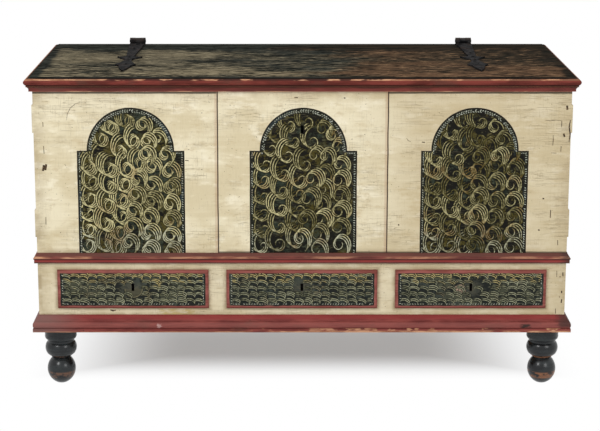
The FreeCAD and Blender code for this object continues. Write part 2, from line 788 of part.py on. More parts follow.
def chest_lock():
    """The chest's iron lock: a case on the front board, its bolt, and the lid's staple."""
    half = size("chest_lock_width") / 2
    top = Z_RIM - size("chest_lock_drop")
    y_staple = Y_INNER_FRONT + size("staple_setback")
    staple = size("staple_width") / 2
    play = size("slot_play")
    y_case = (Y_INNER_FRONT, y_staple + staple + play / 2 + size("chest_lock_wall"))
    case = new_body("chest_lock")
    extrude(case, "XZ_Plane", [rectangle(-half, half, top - size("chest_lock_height"), top)],
            *y_case)
    cut(case, "XZ_Plane", [keyhole(0, Z_RIM - size("chest_keyhole_drop"))], y_case[0],
        y_case[0] + size("lock_keyway_depth"))
    slot_half = size("staple_board") / 2 + play / 2
    slot = rectangle(-slot_half, slot_half, y_staple - staple - play, y_staple + staple + play / 2)
    cut(case, "XY_Plane", [slot], Z_LID - size("staple_length") - play, top)
    iron = size("iron_play")
    bolt_y = size("lock_bolt_depth") / 2
    bolt_z = size("chest_bolt_height") / 2
    z_bolt = Z_LID - (size("staple_length") + size("staple_plate")) / 2
    x_bolt = slot_half + iron
    x_end = x_bolt + size("chest_bolt_length")
    channel = rectangle(y_staple - bolt_y - iron, y_staple + bolt_y + iron,
                        z_bolt - bolt_z - iron, z_bolt + bolt_z + iron)
    cut(case, "YZ_Plane", [channel], x_bolt - size("chest_bolt_travel") - iron, x_end + iron)
    bolt = new_box("chest_bolt", (x_bolt, x_end), (y_staple - bolt_y, y_staple + bolt_y),
                   (z_bolt - bolt_z, z_bolt + bolt_z))
    add_piece(bolt, "chest_bolt")

    strike = new_body("lid_staple")
    plate = size("staple_plate_width") / 2
    deep = size("staple_plate_depth") / 2
    thick = size("staple_plate")
    extrude(strike, "XY_Plane", [rectangle(-plate, plate, y_staple - deep, y_staple + deep)],
            Z_LID - thick, Z_LID)
    bar = size("staple_bar")
    low = Z_LID - size("staple_length")
    board = size("staple_board") / 2
    extrude(strike, "YZ_Plane", [rectangle(y_staple - staple, y_staple + staple, low, Z_LID)],
            -board, board)
    eye = rectangle(y_staple - staple + bar, y_staple + staple - bar, low + bar, Z_LID - thick)
    cut(strike, "YZ_Plane", [eye], -board, board)


# ---------------------------------------------------------------- the drawers

def drawer_tails(low, high, depth):
    """Two dovetails on the end of a drawer side."""
    pitch = (high - low) / 2
    height = pitch - size("drawer_pin")
    return [Tail(low + pitch * (number + 0.5), height, depth, size("drawer_slope"))
            for number in range(2)]


def drawer(name, x):
    foot = Z_DRAWER
    side_top = Z_HEAD - size("side_drop")
    panel_top = foot + size("groove_height") + size("panel_tongue")
    back_top = side_top - size("back_drop")
    end = Y_INNER_BACK - size("drawer_room")
    thick = size("drawer_side")
    inner = X_DRAWER - thick
    tongue = inner + size("groove_depth")
    depth = size("socket_depth")
    groove = (foot + size("groove_height"), panel_top)
    front_tails = drawer_tails(foot, side_top, depth)
    back_tails = drawer_tails(panel_top, back_top, size("drawer_back"))

    front = new_body(f"drawer_{name}_front")
    lap = size("lip_overlap")
    lip = rectangle(-OPENING - lap, OPENING + lap, Z_SILL - lap, Z_HEAD + lap)
    blank = extrude(front, "XZ_Plane", [lip], Y_LIP, Y_LIP + size("lip_board"))
    doc.recompute()
    edges = [f"Edge{index}" for index, edge in enumerate(front.Shape.Edges, start=1)
             if edge.BoundBox.YMax < Y_LIP.value + 1e-6]
    rounding = front.newObject("PartDesign::Fillet", "Thumbnail")
    rounding.Base = (blank, edges)
    rounding.setExpression("Radius", "Size.lip_round")
    front.Tip = rounding
    extrude(front, "XZ_Plane", [rectangle(-X_DRAWER, X_DRAWER, foot, Z_DRAWER_TOP)],
            Y_LIP + size("lip_board"), Y_DRAWER)
    seats = [[(Y_DRAWER + CLEAR, tail.root[0]), (Y_DRAWER, tail.root[0]),
              (Y_DRAWER - depth, tail.tip[0]), (Y_DRAWER - depth, tail.tip[1]),
              (Y_DRAWER, tail.root[1]), (Y_DRAWER + CLEAR, tail.root[1])]
             for tail in front_tails]
    for side in SIDES.values():
        cut(front, "YZ_Plane", seats, *handed(side, inner, X_DRAWER))
    cut(front, "XY_Plane", [rectangle(-tongue, tongue, Y_DRAWER - size("groove_depth"), Y_DRAWER)],
        *groove)
    half = size("lock_case_width") / 2
    y_lock = Y_DRAWER - size("lock_case_depth")
    cut(front, "XZ_Plane",
        [rectangle(-half, half, Z_DRAWER_TOP - size("lock_case_height"), Z_DRAWER_TOP)],
        y_lock, Y_DRAWER)
    cut(front, "XZ_Plane", [keyhole(0, Z_DRAWER_KEYHOLE)], Y_LIP, y_lock)
    place(front, x=x)

    back_inner = end - size("drawer_back")
    outline = [(Y_DRAWER, foot)]
    outline += [(end, foot), (end, panel_top), (back_inner, panel_top)]
    for tail in back_tails:
        outline += [(back_inner, tail.root[0]), (end, tail.tip[0]), (end, tail.tip[1]),
                    (back_inner, tail.root[1])]
    outline += [(back_inner, side_top), (Y_DRAWER, side_top)]
    for tail in reversed(front_tails):
        outline += [(Y_DRAWER, tail.root[1]), (Y_DRAWER - depth, tail.tip[1]),
                    (Y_DRAWER - depth, tail.tip[0]), (Y_DRAWER, tail.root[0])]
    for label, side in SIDES.items():
        body = new_body(f"drawer_{name}_side_{label}")
        extrude(body, "YZ_Plane", [outline], *handed(side, inner, X_DRAWER))
        cut(body, "YZ_Plane", [rectangle(Y_DRAWER - depth - CLEAR, end + CLEAR, *groove)],
            *handed(side, inner, tongue))
        place(body, x=x)

    back = new_body(f"drawer_{name}_back")
    extrude(back, "XZ_Plane", [rectangle(-X_DRAWER, X_DRAWER, panel_top, back_top)],
            back_inner, end)
    seats = [[(back_inner - CLEAR, tail.root[0]), (back_inner, tail.root[0]),
              (end, tail.tip[0]), (end + CLEAR, tail.tip[0]), (end + CLEAR, tail.tip[1]),
              (end, tail.tip[1]), (back_inner, tail.root[1]), (back_inner - CLEAR, tail.root[1])]
             for tail in back_tails]
    for side in SIDES.values():
        cut(back, "YZ_Plane", seats, *handed(side, inner, X_DRAWER))
    place(back, x=x)

    panel = new_body(f"drawer_{name}_bottom")
    bevel = inner - size("panel_bevel")
    panel_low = panel_top - size("panel")
    section = [(-tongue, panel_top), (-tongue, groove[0]), (-inner, groove[0]),
               (-bevel, panel_low), (bevel, panel_low), (inner, groove[0]),
               (tongue, groove[0]), (tongue, panel_top)]
    y_tongue = Y_DRAWER - size("groove_depth")
    extrude(panel, "XZ_Plane", [section], y_tongue, end)
    waste = [(y_tongue - CLEAR, groove[0]), (Y_DRAWER, groove[0]),
             (Y_DRAWER + size("panel_bevel"), panel_low),
             (Y_DRAWER + size("panel_bevel"), panel_low - CLEAR),
             (y_tongue - CLEAR, panel_low - CLEAR)]
    cut(panel, "YZ_Plane", [waste], -tongue, tongue)
    place(panel, x=x)
    drawer_lock(name, x)


# ---------------------------------------------------------------- the lid

def lid_board():
    """One wide board with a thumb moulding on its front and both ends."""
    nose = size("nose_width")
    reach = X_SIDE + size("lid_overhang")
    y_nose = Y_FRONT - size("lid_overhang")
    z_quirk = Z_TOP - size("nose_quirk")
    z_nose = Z_TOP - size("nose_drop")
    z_under = Z_TOP - size("nose_under")
    back = size("nose_return")

    def thumb(inwards):
        """The moulded edge from its top to its foot; inwards maps a setback to a place."""
        return [(inwards(nose), Z_TOP), (inwards(nose), z_quirk),
                via(inwards(nose * THUMB_BEND[0]), z_quirk - size("nose_drop") * THUMB_BEND[1]),
                (inwards(0), z_nose),
                via(inwards(back * THUMB_UNDER_BEND[0]),
                    z_nose - (z_nose - z_under) * THUMB_UNDER_BEND[1]),
                (inwards(back), z_under), (inwards(back), Z_LID)]

    body = new_body("lid_board")
    right = thumb(lambda setback: reach - setback)
    left = thumb(lambda setback: -reach + setback)
    extrude(body, "XZ_Plane", [right + list(reversed(left))], y_nose, Y_BACK)
    front = thumb(lambda setback: y_nose + setback)
    waste = [(y_nose - CLEAR, Z_TOP + CLEAR), (front[0][0], Z_TOP + CLEAR)] + front[1:-1]
    waste += [(front[-1][0], Z_LID - CLEAR), (y_nose - CLEAR, Z_LID - CLEAR)]
    cut(body, "YZ_Plane", [waste], -reach - CLEAR, reach + CLEAR)


def strap_outline():
    """The strap and its leaf finial from above, from the barrel to the tip."""
    wide = size("strap_wide") / 2
    narrow = size("strap_narrow") / 2
    root = size("strap_length")
    long = size("finial_length")
    leaflet = size("leaflet_reach")
    lobe = size("lobe_reach")
    neck = size("finial_neck")
    belly = (neck + leaflet) / 2 + size("leaflet_belly")
    edge = [(wide, 0), (wide, size("barrel_radius")), (narrow, root),
            via((narrow + leaflet) / 2, root + long * LEAFLET_CURL),
            (leaflet, root + long * LEAFLET_POINT),
            via(belly, root + long * LEAFLET_BELLY), (neck, root + long * NECK_PLACE),
            via(neck + size("lobe_waist"), root + long * LOBE_WAIST),
            (lobe, root + long * LOBE_PLACE), (lobe * LOBE_END[0], root + long * LOBE_END[1]),
            via(lobe * TIP_BEND[0], root + long * TIP_BEND[1])]
    right = [(point[0], Y_PIN - point[1]) + tuple(point[2:]) for point in edge]
    left = [(-point[0],) + tuple(point[1:]) for point in reversed(right)]
    return right + [(0, Y_PIN - root - long)] + left


def hinges():
    radius = size("barrel_radius")
    wide = size("strap_wide") / 2
    knuckle = size("knuckle_width") / 2
    play = size("iron_play")
    bore = ("circle", Y_PIN, Z_PIN, size("pin_radius") + size("pin_play"))
    pins = []
    for name, side in SIDES.items():
        x = (X_SIDE - size("hinge_inset")) * side
        strap = new_body(f"hinge_strap_{name}")
        extrude(strap, "XY_Plane", [strap_outline()], Z_TOP, Z_TOP + size("iron"))
        extrude(strap, "YZ_Plane", [("circle", Y_PIN, Z_PIN, radius)], -wide, wide)
        gap = rectangle(-knuckle - play, knuckle + play, Y_PIN - radius - play,
                        Y_PIN + radius + CLEAR)
        cut(strap, "XY_Plane", [gap], Z_TOP - CLEAR, Z_PIN + radius + CLEAR)
        cut(strap, "YZ_Plane", [bore], -wide - CLEAR, wide + CLEAR)
        place(strap, x=x)

        leaf = new_body(f"hinge_leaf_{name}")
        top = Z_TOP - size("back_leaf_drop")
        low = top - size("back_leaf_length")
        tip = size("back_leaf_narrow") / 2
        plate = [(-knuckle, Z_PIN), (-knuckle, top), (-wide, top), (-tip, low + tip),
                 via(0, low), (tip, low + tip), (wide, top), (knuckle, top), (knuckle, Z_PIN)]
        face = Y_BACK + size("leaf_gap")
        extrude(leaf, "XZ_Plane", [plate], face, face + size("iron"))
        extrude(leaf, "YZ_Plane", [("circle", Y_PIN, Z_PIN, radius - play)], -knuckle, knuckle)
        cut(leaf, "YZ_Plane", [bore], -knuckle - CLEAR, knuckle + CLEAR)
        place(leaf, x=x)

        pin = doc.addObject("Part::Cylinder", f"pin_{name}")
        pin.setExpression("Radius", "Size.pin_radius")
        pin.setExpression("Height", (size("strap_wide") + size("pin_end") * 2).formula)
        pin.Placement = FreeCAD.Placement(Vector(), FreeCAD.Rotation(Vector(0, 1, 0), 90))
        place(pin, x=x - wide - size("pin_end"), y=Y_PIN, z=Z_PIN)
        pins.append(pin)
    group("hinge_pins", pins)


# ---------------------------------------------------------------- build, check and write

def build():
    side_boards()
    front_board()
    back_boards()
    floor_boards()
    rails()
    uprights()
    partitions()
    drawer_guides()
    waist_moulding()
    base_moulding()
    foot_blocks()
    feet()
    for name, place_x in DRAWERS.items():
        drawer(name, PITCH * place_x)
    chest_lock()
    lid_board()
    lid_cornice()
    hinges()


def check():
    doc.recompute()
    for thing in doc.Objects:
        if "Invalid" in thing.State or "Error" in thing.State:
            raise RuntimeError(f"{thing.Name} failed: {thing.State}")
    for piece in pieces:
        if piece.Shape.isNull() or not piece.Shape.isValid():
            raise RuntimeError(f"{piece.Label} has no valid shape")


build()
check()
os.makedirs("parts", exist_ok=True)
for piece in pieces:
    piece.Shape.exportStep(f"parts/{piece.Label}.step")
print(len(pieces), "pieces")
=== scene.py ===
import math
import random

import bpy
from mathutils import Matrix, Vector


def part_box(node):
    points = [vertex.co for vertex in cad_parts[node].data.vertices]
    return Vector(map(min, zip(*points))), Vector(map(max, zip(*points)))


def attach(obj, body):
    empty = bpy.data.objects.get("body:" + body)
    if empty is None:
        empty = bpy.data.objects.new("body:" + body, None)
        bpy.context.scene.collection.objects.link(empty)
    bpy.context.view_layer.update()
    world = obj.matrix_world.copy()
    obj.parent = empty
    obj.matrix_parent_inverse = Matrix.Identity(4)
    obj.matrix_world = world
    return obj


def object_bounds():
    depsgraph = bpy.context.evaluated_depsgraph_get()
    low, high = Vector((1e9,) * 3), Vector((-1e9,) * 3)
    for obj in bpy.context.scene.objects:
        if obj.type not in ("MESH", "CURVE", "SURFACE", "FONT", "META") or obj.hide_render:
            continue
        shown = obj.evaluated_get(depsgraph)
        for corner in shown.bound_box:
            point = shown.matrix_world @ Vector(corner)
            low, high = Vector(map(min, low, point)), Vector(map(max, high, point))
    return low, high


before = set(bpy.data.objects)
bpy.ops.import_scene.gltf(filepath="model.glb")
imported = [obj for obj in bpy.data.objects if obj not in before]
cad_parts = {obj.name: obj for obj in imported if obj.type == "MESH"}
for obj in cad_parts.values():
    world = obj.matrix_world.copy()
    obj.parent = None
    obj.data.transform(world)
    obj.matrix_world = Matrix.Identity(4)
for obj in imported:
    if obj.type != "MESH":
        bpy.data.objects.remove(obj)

# The looks of a painted pine mule chest: cream paint over the boards, red mouldings, combed
# arches and drawer fronts, a worn dark lid and forged iron. Metres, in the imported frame.

CAD_BOX = [list(corner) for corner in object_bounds()]

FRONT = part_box("rail_top")[0].y                 # painted face of the case
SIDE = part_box("waist_moulding_front")[1].x - 0.009      # its painted ends, behind the moulding
CORNICE_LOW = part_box("lid_cornice_front")[0].z
LID_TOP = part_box("lid_board")[1].z
LID_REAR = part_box("lid_board")[1].y
WAIST_LOW, WAIST_HIGH = (corner.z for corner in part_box("waist_moulding_front"))
BASE_LOW, BASE_HIGH = (corner.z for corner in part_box("base_moulding_front"))
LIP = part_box("drawer_left_front")[0].y          # face of a drawer's lip
DRAWER_LOW, DRAWER_HIGH = (corner.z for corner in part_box("drawer_left_front"))
DRAWER_PITCH = 0.4
DRAWER_MIDDLES = {"left": -DRAWER_PITCH, "middle": 0.0, "right": DRAWER_PITCH}
DRAWER_HALF = 0.179
KEYHOLE_Z = 0.251                               # of the drawers
CHEST_KEYHOLE = (0.0, 0.630)
WEAR_DROP, WEAR_SQUASH = 0.004, 0.7             # of the rubbed patch round a drawer's keyhole
HINGE_X = (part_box("hinge_strap_right")[0].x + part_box("hinge_strap_right")[1].x) / 2
PIN_Y = sum(corner.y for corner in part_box("hinge_pins")) / 2
LEAF_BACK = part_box("hinge_leaf_left")[1].y
STRAP_THICK = 0.004
STRAP_NAILS = (0.030, 0.105, 0.180, 0.246, 0.290, 0.355)       # ahead of the hinge pin
RIVET_DROPS = (0.040, 0.090, 0.145)             # below the lid's top, on the back leaves

PANEL_LINES = (-0.197, 0.200)                   # lines between the three painted fields
ARCH_HALF = 0.1255                              # half width of an arch's body
ARCH_RADIUS = 0.102                             # its round head
ARCH_SHOULDER = 0.579

FILM, SKIN = 0.0002, 0.0006                     # how deep paint is whole, and where it has ended
DIRTY_END = 0.04                                # width of the grime at the case's ends
PAINT_BUMP, WOOD_BUMP, STROKE_BUMP = 0.0004, 0.0005, 0.0002
STROKE_LIFT, LAYER_RISE = 0.0001, 0.000026      # of the lowest strokes, and from layer to layer
ARCH_ROPE_LIFT, DRAWER_ROPE_LIFT, MARK_LIFT = 0.00008, 0.0005, 0.0002
SATIN = {"Specular IOR Level": 0.2}
DULL = {"Specular IOR Level": 0.12}
TAN = (180, 160, 122)
HOLE = (20, 18, 15)                             # painted shade inside a keyhole

# Where the curls wind in to their ends, in millimetres from the middle of an arch's shoulders.
# A column has its top and bottom across, which way it bulges, its top and bottom height and its
# number of curls. A curl in the head has its place and which way it bulges.
ARCHES = {
    "left": {
        "middle": -0.400, "seed": 11, "tone": 0.52, "lag": 0.40, "sweep": 490,
        "columns": ((-91, -99, -1, -43, -232, 6), (-43, -60, -1, -48, -226, 5),
                    (-7, -30, -1, -51, -239, 6), (13, -9, 1, -66, -218, 5),
                    (46, 34, 1, -38, -239, 6), (88, 88, 1, -48, -243, 6)),
        "head": ((-41, 50, -1), (-4, 67, -1), (-64, 24, -1), (-22, -6, -1), (8, 18, -1),
                 (-74, -22, -1), (22, -35, -1), (27, 63, 1), (62, 33, 1), (36, 24, 1),
                 (32, -6, 1), (80, -9, 1)),
    },
    "middle": {
        "middle": 0.003, "seed": 23, "tone": 0.38, "lag": 0.90, "sweep": 440,
        "columns": ((-88, -98, -1, -38, -232, 6), (-46, -59, -1, -58, -229, 5),
                    (-6, -17, -1, -74, -218, 5), (17, -6, 1, -64, -208, 4),
                    (46, 33, 1, -51, -234, 6), (85, 84, 1, -30, -221, 6)),
        "head": ((-32, 58, -1), (-60, 33, -1), (9, 66, -1), (-22, 20, -1), (20, 20, -1),
                 (-38, -14, -1), (-76, 2, -1), (4, -35, -1), (44, 56, 1), (66, 40, 1),
                 (26, -8, 1), (78, 10, 1), (51, -11, 1)),
    },
    "right": {
        "middle": 0.403, "seed": 37, "tone": 0.28, "lag": 0.70, "sweep": 460,
        "columns": ((-88, -93, -1, -53, -237, 6), (-46, -54, -1, -61, -232, 5),
                    (-8, -14, -1, -51, -237, 6), (7, 0, 1, -43, -224, 6),
                    (47, 44, 1, -35, -239, 6), (89, 89, 1, -43, -229, 6)),
        "head": ((-21, 64, -1), (13, 66, -1), (-50, 38, -1), (-63, 12, -1), (-16, 10, -1),
                 (12, 23, -1), (-84, -27, -1), (-39, -22, -1), (44, 59, 1), (30, 16, 1),
                 (8, -14, 1), (60, 30, 1), (79, -1, 1), (50, -11, 1)),
    },
}

# Marks on the painted front, in millimetres: a width, then points across and up.
MARKS = (
    (0.9, -547, 652, -545, 666, -538, 680, -526, 690, -514, 694), (5, -605.5, 531, -603, 545),
    (5, -600, 533, -597.5, 547), (1.4, -602.5, 647, -602, 636), (1.4, -602.5, 590, -601.5, 572),
    (1.4, -602, 420, -602.5, 402), (1.4, 603, 649, 603, 638), (1.4, 603.5, 590, 603, 577),
    (1.4, 603, 364, 603.5, 352), (1.8, 584, 616, 584.5, 604, 583.8, 592),
    (1.8, 584.2, 437, 583.8, 418), (1, 564, 651.5, 576, 650, 590, 652, 604, 650),
    (3, 623, 652, 620.5, 636, 623.5, 618, 621.5, 600), (2.4, 610.5, 274.2, 613, 274),
    (2.4, 610.8, 224.6, 613.2, 224.4), (4, -456, 192.5, -449, 190.5, -442, 192),
    (2.6, 96, 704, 100, 703.5), (2.2, -18, 705, -10, 704.5), (2.2, 279, 600, 286, 599),
    (1.8, -273, 556, -265, 555.5), (4.6, 614, 686, 615, 676), (4, 608, 620, 611, 612),
    (1, 603, 650, 603.5, 642, 602, 634), (1, 580, 574, 593, 573.5),
    (1.2, 243, 609, 247, 603, 253, 601), (3, 564, 465, 568, 464), (3, 556, 389, 560, 388),
    (3, 226, 402, 229, 400), (2.2, 618, 285, 618.5, 276), (1.2, 603.5, 289, 604, 274),
    (2.8, 616.5, 240, 617, 234), (2.8, 617.5, 219, 616.5, 210), (1.2, 603.5, 196, 604, 183),
)


def shade(red, green, blue):
    """A colour in everyday 0-255 values, as the linear colour that a shader takes."""
    parts = (value / 255 for value in (red, green, blue))
    return (*(part / 12.92 if part < 0.04045 else ((part + 0.055) / 1.055) ** 2.4
              for part in parts), 1.0)


# ---------------------------------------------------------------- trees of nodes

class Wire:
    """One output of a node. Sums written on it add Math nodes to its tree."""

    def __init__(self, tree, socket):
        self.tree = tree
        self.socket = socket

    def also(self, name):
        return Wire(self.tree, self.socket.node.outputs[name])

    def __abs__(self):
        return self.tree.maths("ABSOLUTE", self)

    def __neg__(self):
        return self * -1.0


for sign, operation in (("add", "ADD"), ("sub", "SUBTRACT"), ("mul", "MULTIPLY"),
                        ("truediv", "DIVIDE"), ("pow", "POWER")):
    setattr(Wire, f"__{sign}__", lambda wire, other, operation=operation:
            wire.tree.maths(operation, wire, other))
    setattr(Wire, f"__r{sign}__", lambda wire, other, operation=operation:
            wire.tree.maths(operation, other, wire))


def least(first, *others):
    for other in others:
        first = first.tree.maths("MINIMUM", first, other)
    return first


def most(first, *others):
    for other in others:
        first = first.tree.maths("MAXIMUM", first, other)
    return first


def distance(across, up):
    return (across * across + up * up) ** 0.5


def rise(value, low, high):
    """0 below low and 1 above high, with a smooth change between."""
    return value.tree.node("ShaderNodeMapRange",
                           {"Value": value, "From Min": low, "From Max": high},
                           interpolation_type="SMOOTHSTEP")


def fall(value, low, high):
    """1 below low and 0 above high."""
    return 1 - rise(value, low, high)


def near(value, middle, half, soft):
    """1 within half of the middle, fading out over soft."""
    return fall(abs(value - middle), half, half + soft)


def over(under, paint, mask):
    """One colour laid over another where the mask is 1. A tuple is a colour in 0-255 values."""
    under, paint = (shade(*side) if isinstance(side, tuple) else side for side in (under, paint))
    return mask.tree.node("ShaderNodeMix", {0: mask, 6: under, 7: paint}, 2, data_type="RGBA")


def coats(colour, *paints):
    """A colour under coats of paint, each given with its mask, the first one lowest."""
    for paint, mask in paints:
        colour = over(colour, paint, mask)
    return colour


class Tree:
    """A node tree and the one way in which nodes are added to it."""

    def __init__(self, tree):
        self.tree = tree

    def node(self, kind, values=None, output=0, **settings):
        made = self.tree.nodes.new(kind)
        for name, setting in settings.items():
            setattr(made, name, setting)
        for name, value in (values or {}).items():
            if isinstance(value, Wire):
                self.tree.links.new(value.socket, made.inputs[name])
            else:
                made.inputs[name].default_value = value
        return Wire(self, made.outputs[output])

    def maths(self, operation, *terms):
        return self.node("ShaderNodeMath", dict(enumerate(terms)), operation=operation)

    def vectors(self, operation, *terms, output=0):
        return self.node("ShaderNodeVectorMath", dict(enumerate(terms)), output,
                         operation=operation)

    def parts(self, vector):
        x = self.node("ShaderNodeSeparateXYZ", {0: vector})
        return x, x.also("Y"), x.also("Z")

    def seen(self):
        """1 for rays of the camera, of gloss and of glass, and 0 for those that light the chest."""
        ray = self.node("ShaderNodeLightPath", output="Is Camera Ray")
        return most(ray, ray.also("Is Glossy Ray"), ray.also("Is Transmission Ray"))


class Finish(Tree):
    """A paint, wood or iron finish on the piece's own coordinates."""

    def __init__(self, name, constants=None):
        self.material = bpy.data.materials.new(name)
        self.material.use_nodes = True
        super().__init__(self.material.node_tree)
        self.shader = self.tree.nodes["Principled BSDF"]
        for socket, value in (constants or {}).items():
            self.shader.inputs[socket].default_value = value
        self.place = self.node("ShaderNodeTexCoord", output="Object")
        self.x, self.y, self.z = self.parts(self.place)

    def cloud(self, span, shift, detail=3.0, rough=0.6):
        """Noise whose blots are about span metres long on each axis."""
        spread = self.vectors("MULTIPLY", self.place, [1 / length for length in span])
        moved = self.vectors("ADD", spread, (shift, shift * 1.7, shift * 2.3))
        return self.node("ShaderNodeTexNoise", {"Vector": moved, "Scale": 1.0, "Detail": detail,
                                                "Roughness": rough})

    def cracks(self, span, level, width, shift):
        """Fine lines along the level of a noise."""
        return near(self.cloud(span, shift, 2.0, 0.5), level, 0.0, width)

    def read(self, name):
        return self.node("ShaderNodeAttribute", output="Fac", attribute_name=name)

    def done(self, colour, roughness, height, depth, coat=None):
        bump = self.node("ShaderNodeBump", {"Distance": depth, "Height": height})
        for name, value in (("Base Color", colour), ("Roughness", roughness),
                            ("Coat Weight", coat), ("Normal", bump)):
            if value is not None:
                self.tree.links.new(value.socket, self.shader.inputs[name])
        return self.material


# ---------------------------------------------------------------- pine and cream paint

def pine_colour(finish, along):
    """Old bare pine with its grain along one axis, browned and streaked."""
    span = [0.006, 0.006, 0.006]
    span["xyz".index(along)] = 0.35
    grain = finish.cloud(span, 2.0)
    band = rise(finish.cloud([length * 6 for length in span], 9.0, 2.0, 0.5), 0.5, 0.72)
    soot = rise(finish.cloud((0.2, 0.2, 0.2), 4.0), 0.5, 0.75)
    colour = over((150, 112, 70), (188, 150, 102), rise(grain, 0.36, 0.62))
    return coats(colour, ((118, 84, 50), band * 0.7), ((92, 68, 44), soot * 0.6)), grain


def cream_colour(finish):
    """Cream paint gone uneven, crazed along the boards, with tan stains and flakes."""
    cloud = finish.cloud((0.16, 0.16, 0.09), 40.0)
    brushed = finish.cloud((0.30, 0.30, 0.007), 43.0, 2.0, 0.5)
    tone = rise(cloud * 0.8 + brushed * 0.2, 0.40, 0.60)
    pale = rise(finish.cloud((0.05, 0.05, 0.02), 47.0), 0.54, 0.70)
    tan = rise(finish.cloud((0.03, 0.03, 0.012), 49.0), 0.56, 0.70)
    patch = rise(finish.cloud((0.12, 0.12, 0.06), 45.0, 2.0), 0.42, 0.60)
    lines = finish.cracks((0.09, 0.09, 0.0035), 0.55, 0.022, 51.0) * patch
    upright = finish.cracks((0.0040, 0.0040, 0.070), 0.53, 0.018, 55.0) * (patch * 0.6 + 0.4)
    speck = rise(finish.cloud((0.005, 0.005, 0.004), 63.0, 1.0, 0.5), 0.74, 0.80)
    colour = coats(over((210, 195, 160), (228, 216, 185), tone),
                   ((240, 230, 204), pale * 0.6), ((194, 174, 136), tan * 0.45),
                   ((150, 132, 102), lines * 0.6), ((164, 148, 118), upright * 0.5),
                   ((84, 70, 54), speck * 0.8))
    return colour, brushed * 0.3 - lines * 0.6, lines


def painted_ahead(finish):
    """1 on the case's front plane and 0 behind it."""
    return rise(-finish.y, -FRONT - SKIN, -FRONT - FILM)


def painted_skin(finish):
    """1 on the case's painted outer faces and 0 on the bare wood within."""
    return most(painted_ahead(finish), rise(abs(finish.x), SIDE - SKIN, SIDE - FILM))


def past_drawer(finish):
    """How far a point is beyond the nearest drawer front, and across from its middle."""
    across = finish.x - finish.maths("ROUND", finish.x / DRAWER_PITCH) * DRAWER_PITCH
    up = finish.z - (DRAWER_LOW + DRAWER_HIGH) / 2
    return most(abs(across) - DRAWER_HALF, abs(up) - (DRAWER_HIGH - DRAWER_LOW) / 2), across


def dirt_and_shade(finish, amount, mask):
    """A blotted coat of brown: dirt at the case's ends, and painted shade by the mouldings and
    round the drawer lips.
    """
    blots = rise(finish.cloud((0.05, 0.05, 0.03), 31.0, 4.0, 0.65), 0.3, 0.62)
    return (150, 130, 98), mask * blots * amount


def case_paint():
    """Cream paint on the sides, rails and stiles, and bare pine on their inner faces."""
    finish = Finish("cream_case_paint", SATIN)
    x, z = finish.x, finish.z
    colour, height, _ = cream_colour(finish)
    beyond, _ = past_drawer(finish)
    # Painted shade round the drawer lips and just above the base moulding, and dirt at the ends,
    # laid in one blotted brown coat.
    lip_shade = fall(beyond, 0.0, 0.012)
    low = fall(z, BASE_HIGH, BASE_HIGH + 0.010)
    ends = rise(abs(x), SIDE - DIRTY_END, SIDE) * (0.45 + painted_ahead(finish) * 0.23)
    stain = near(x, -0.295, 0.035, 0.02) * near(z, 0.188, 0.004, 0.006)
    blot = finish.cloud((0.02, 0.02, 0.006), 47.0)
    lower = fall(z, WAIST_LOW, WAIST_HIGH)
    wood, grain = pine_colour(finish, "x")
    skin = painted_skin(finish)
    colour = coats(colour, dirt_and_shade(finish, 0.7, most(lip_shade, low, ends)),
                   ((176, 152, 88), stain * rise(blot, 0.40, 0.60) * 0.8),
                   (TAN, most(lower * 0.22, rise(x, 0.10, 0.30) * 0.45)),
                   (wood, 1 - skin))
    return finish.done(colour, 0.82 - skin * 0.2, over(grain, height, skin), WOOD_BUMP)


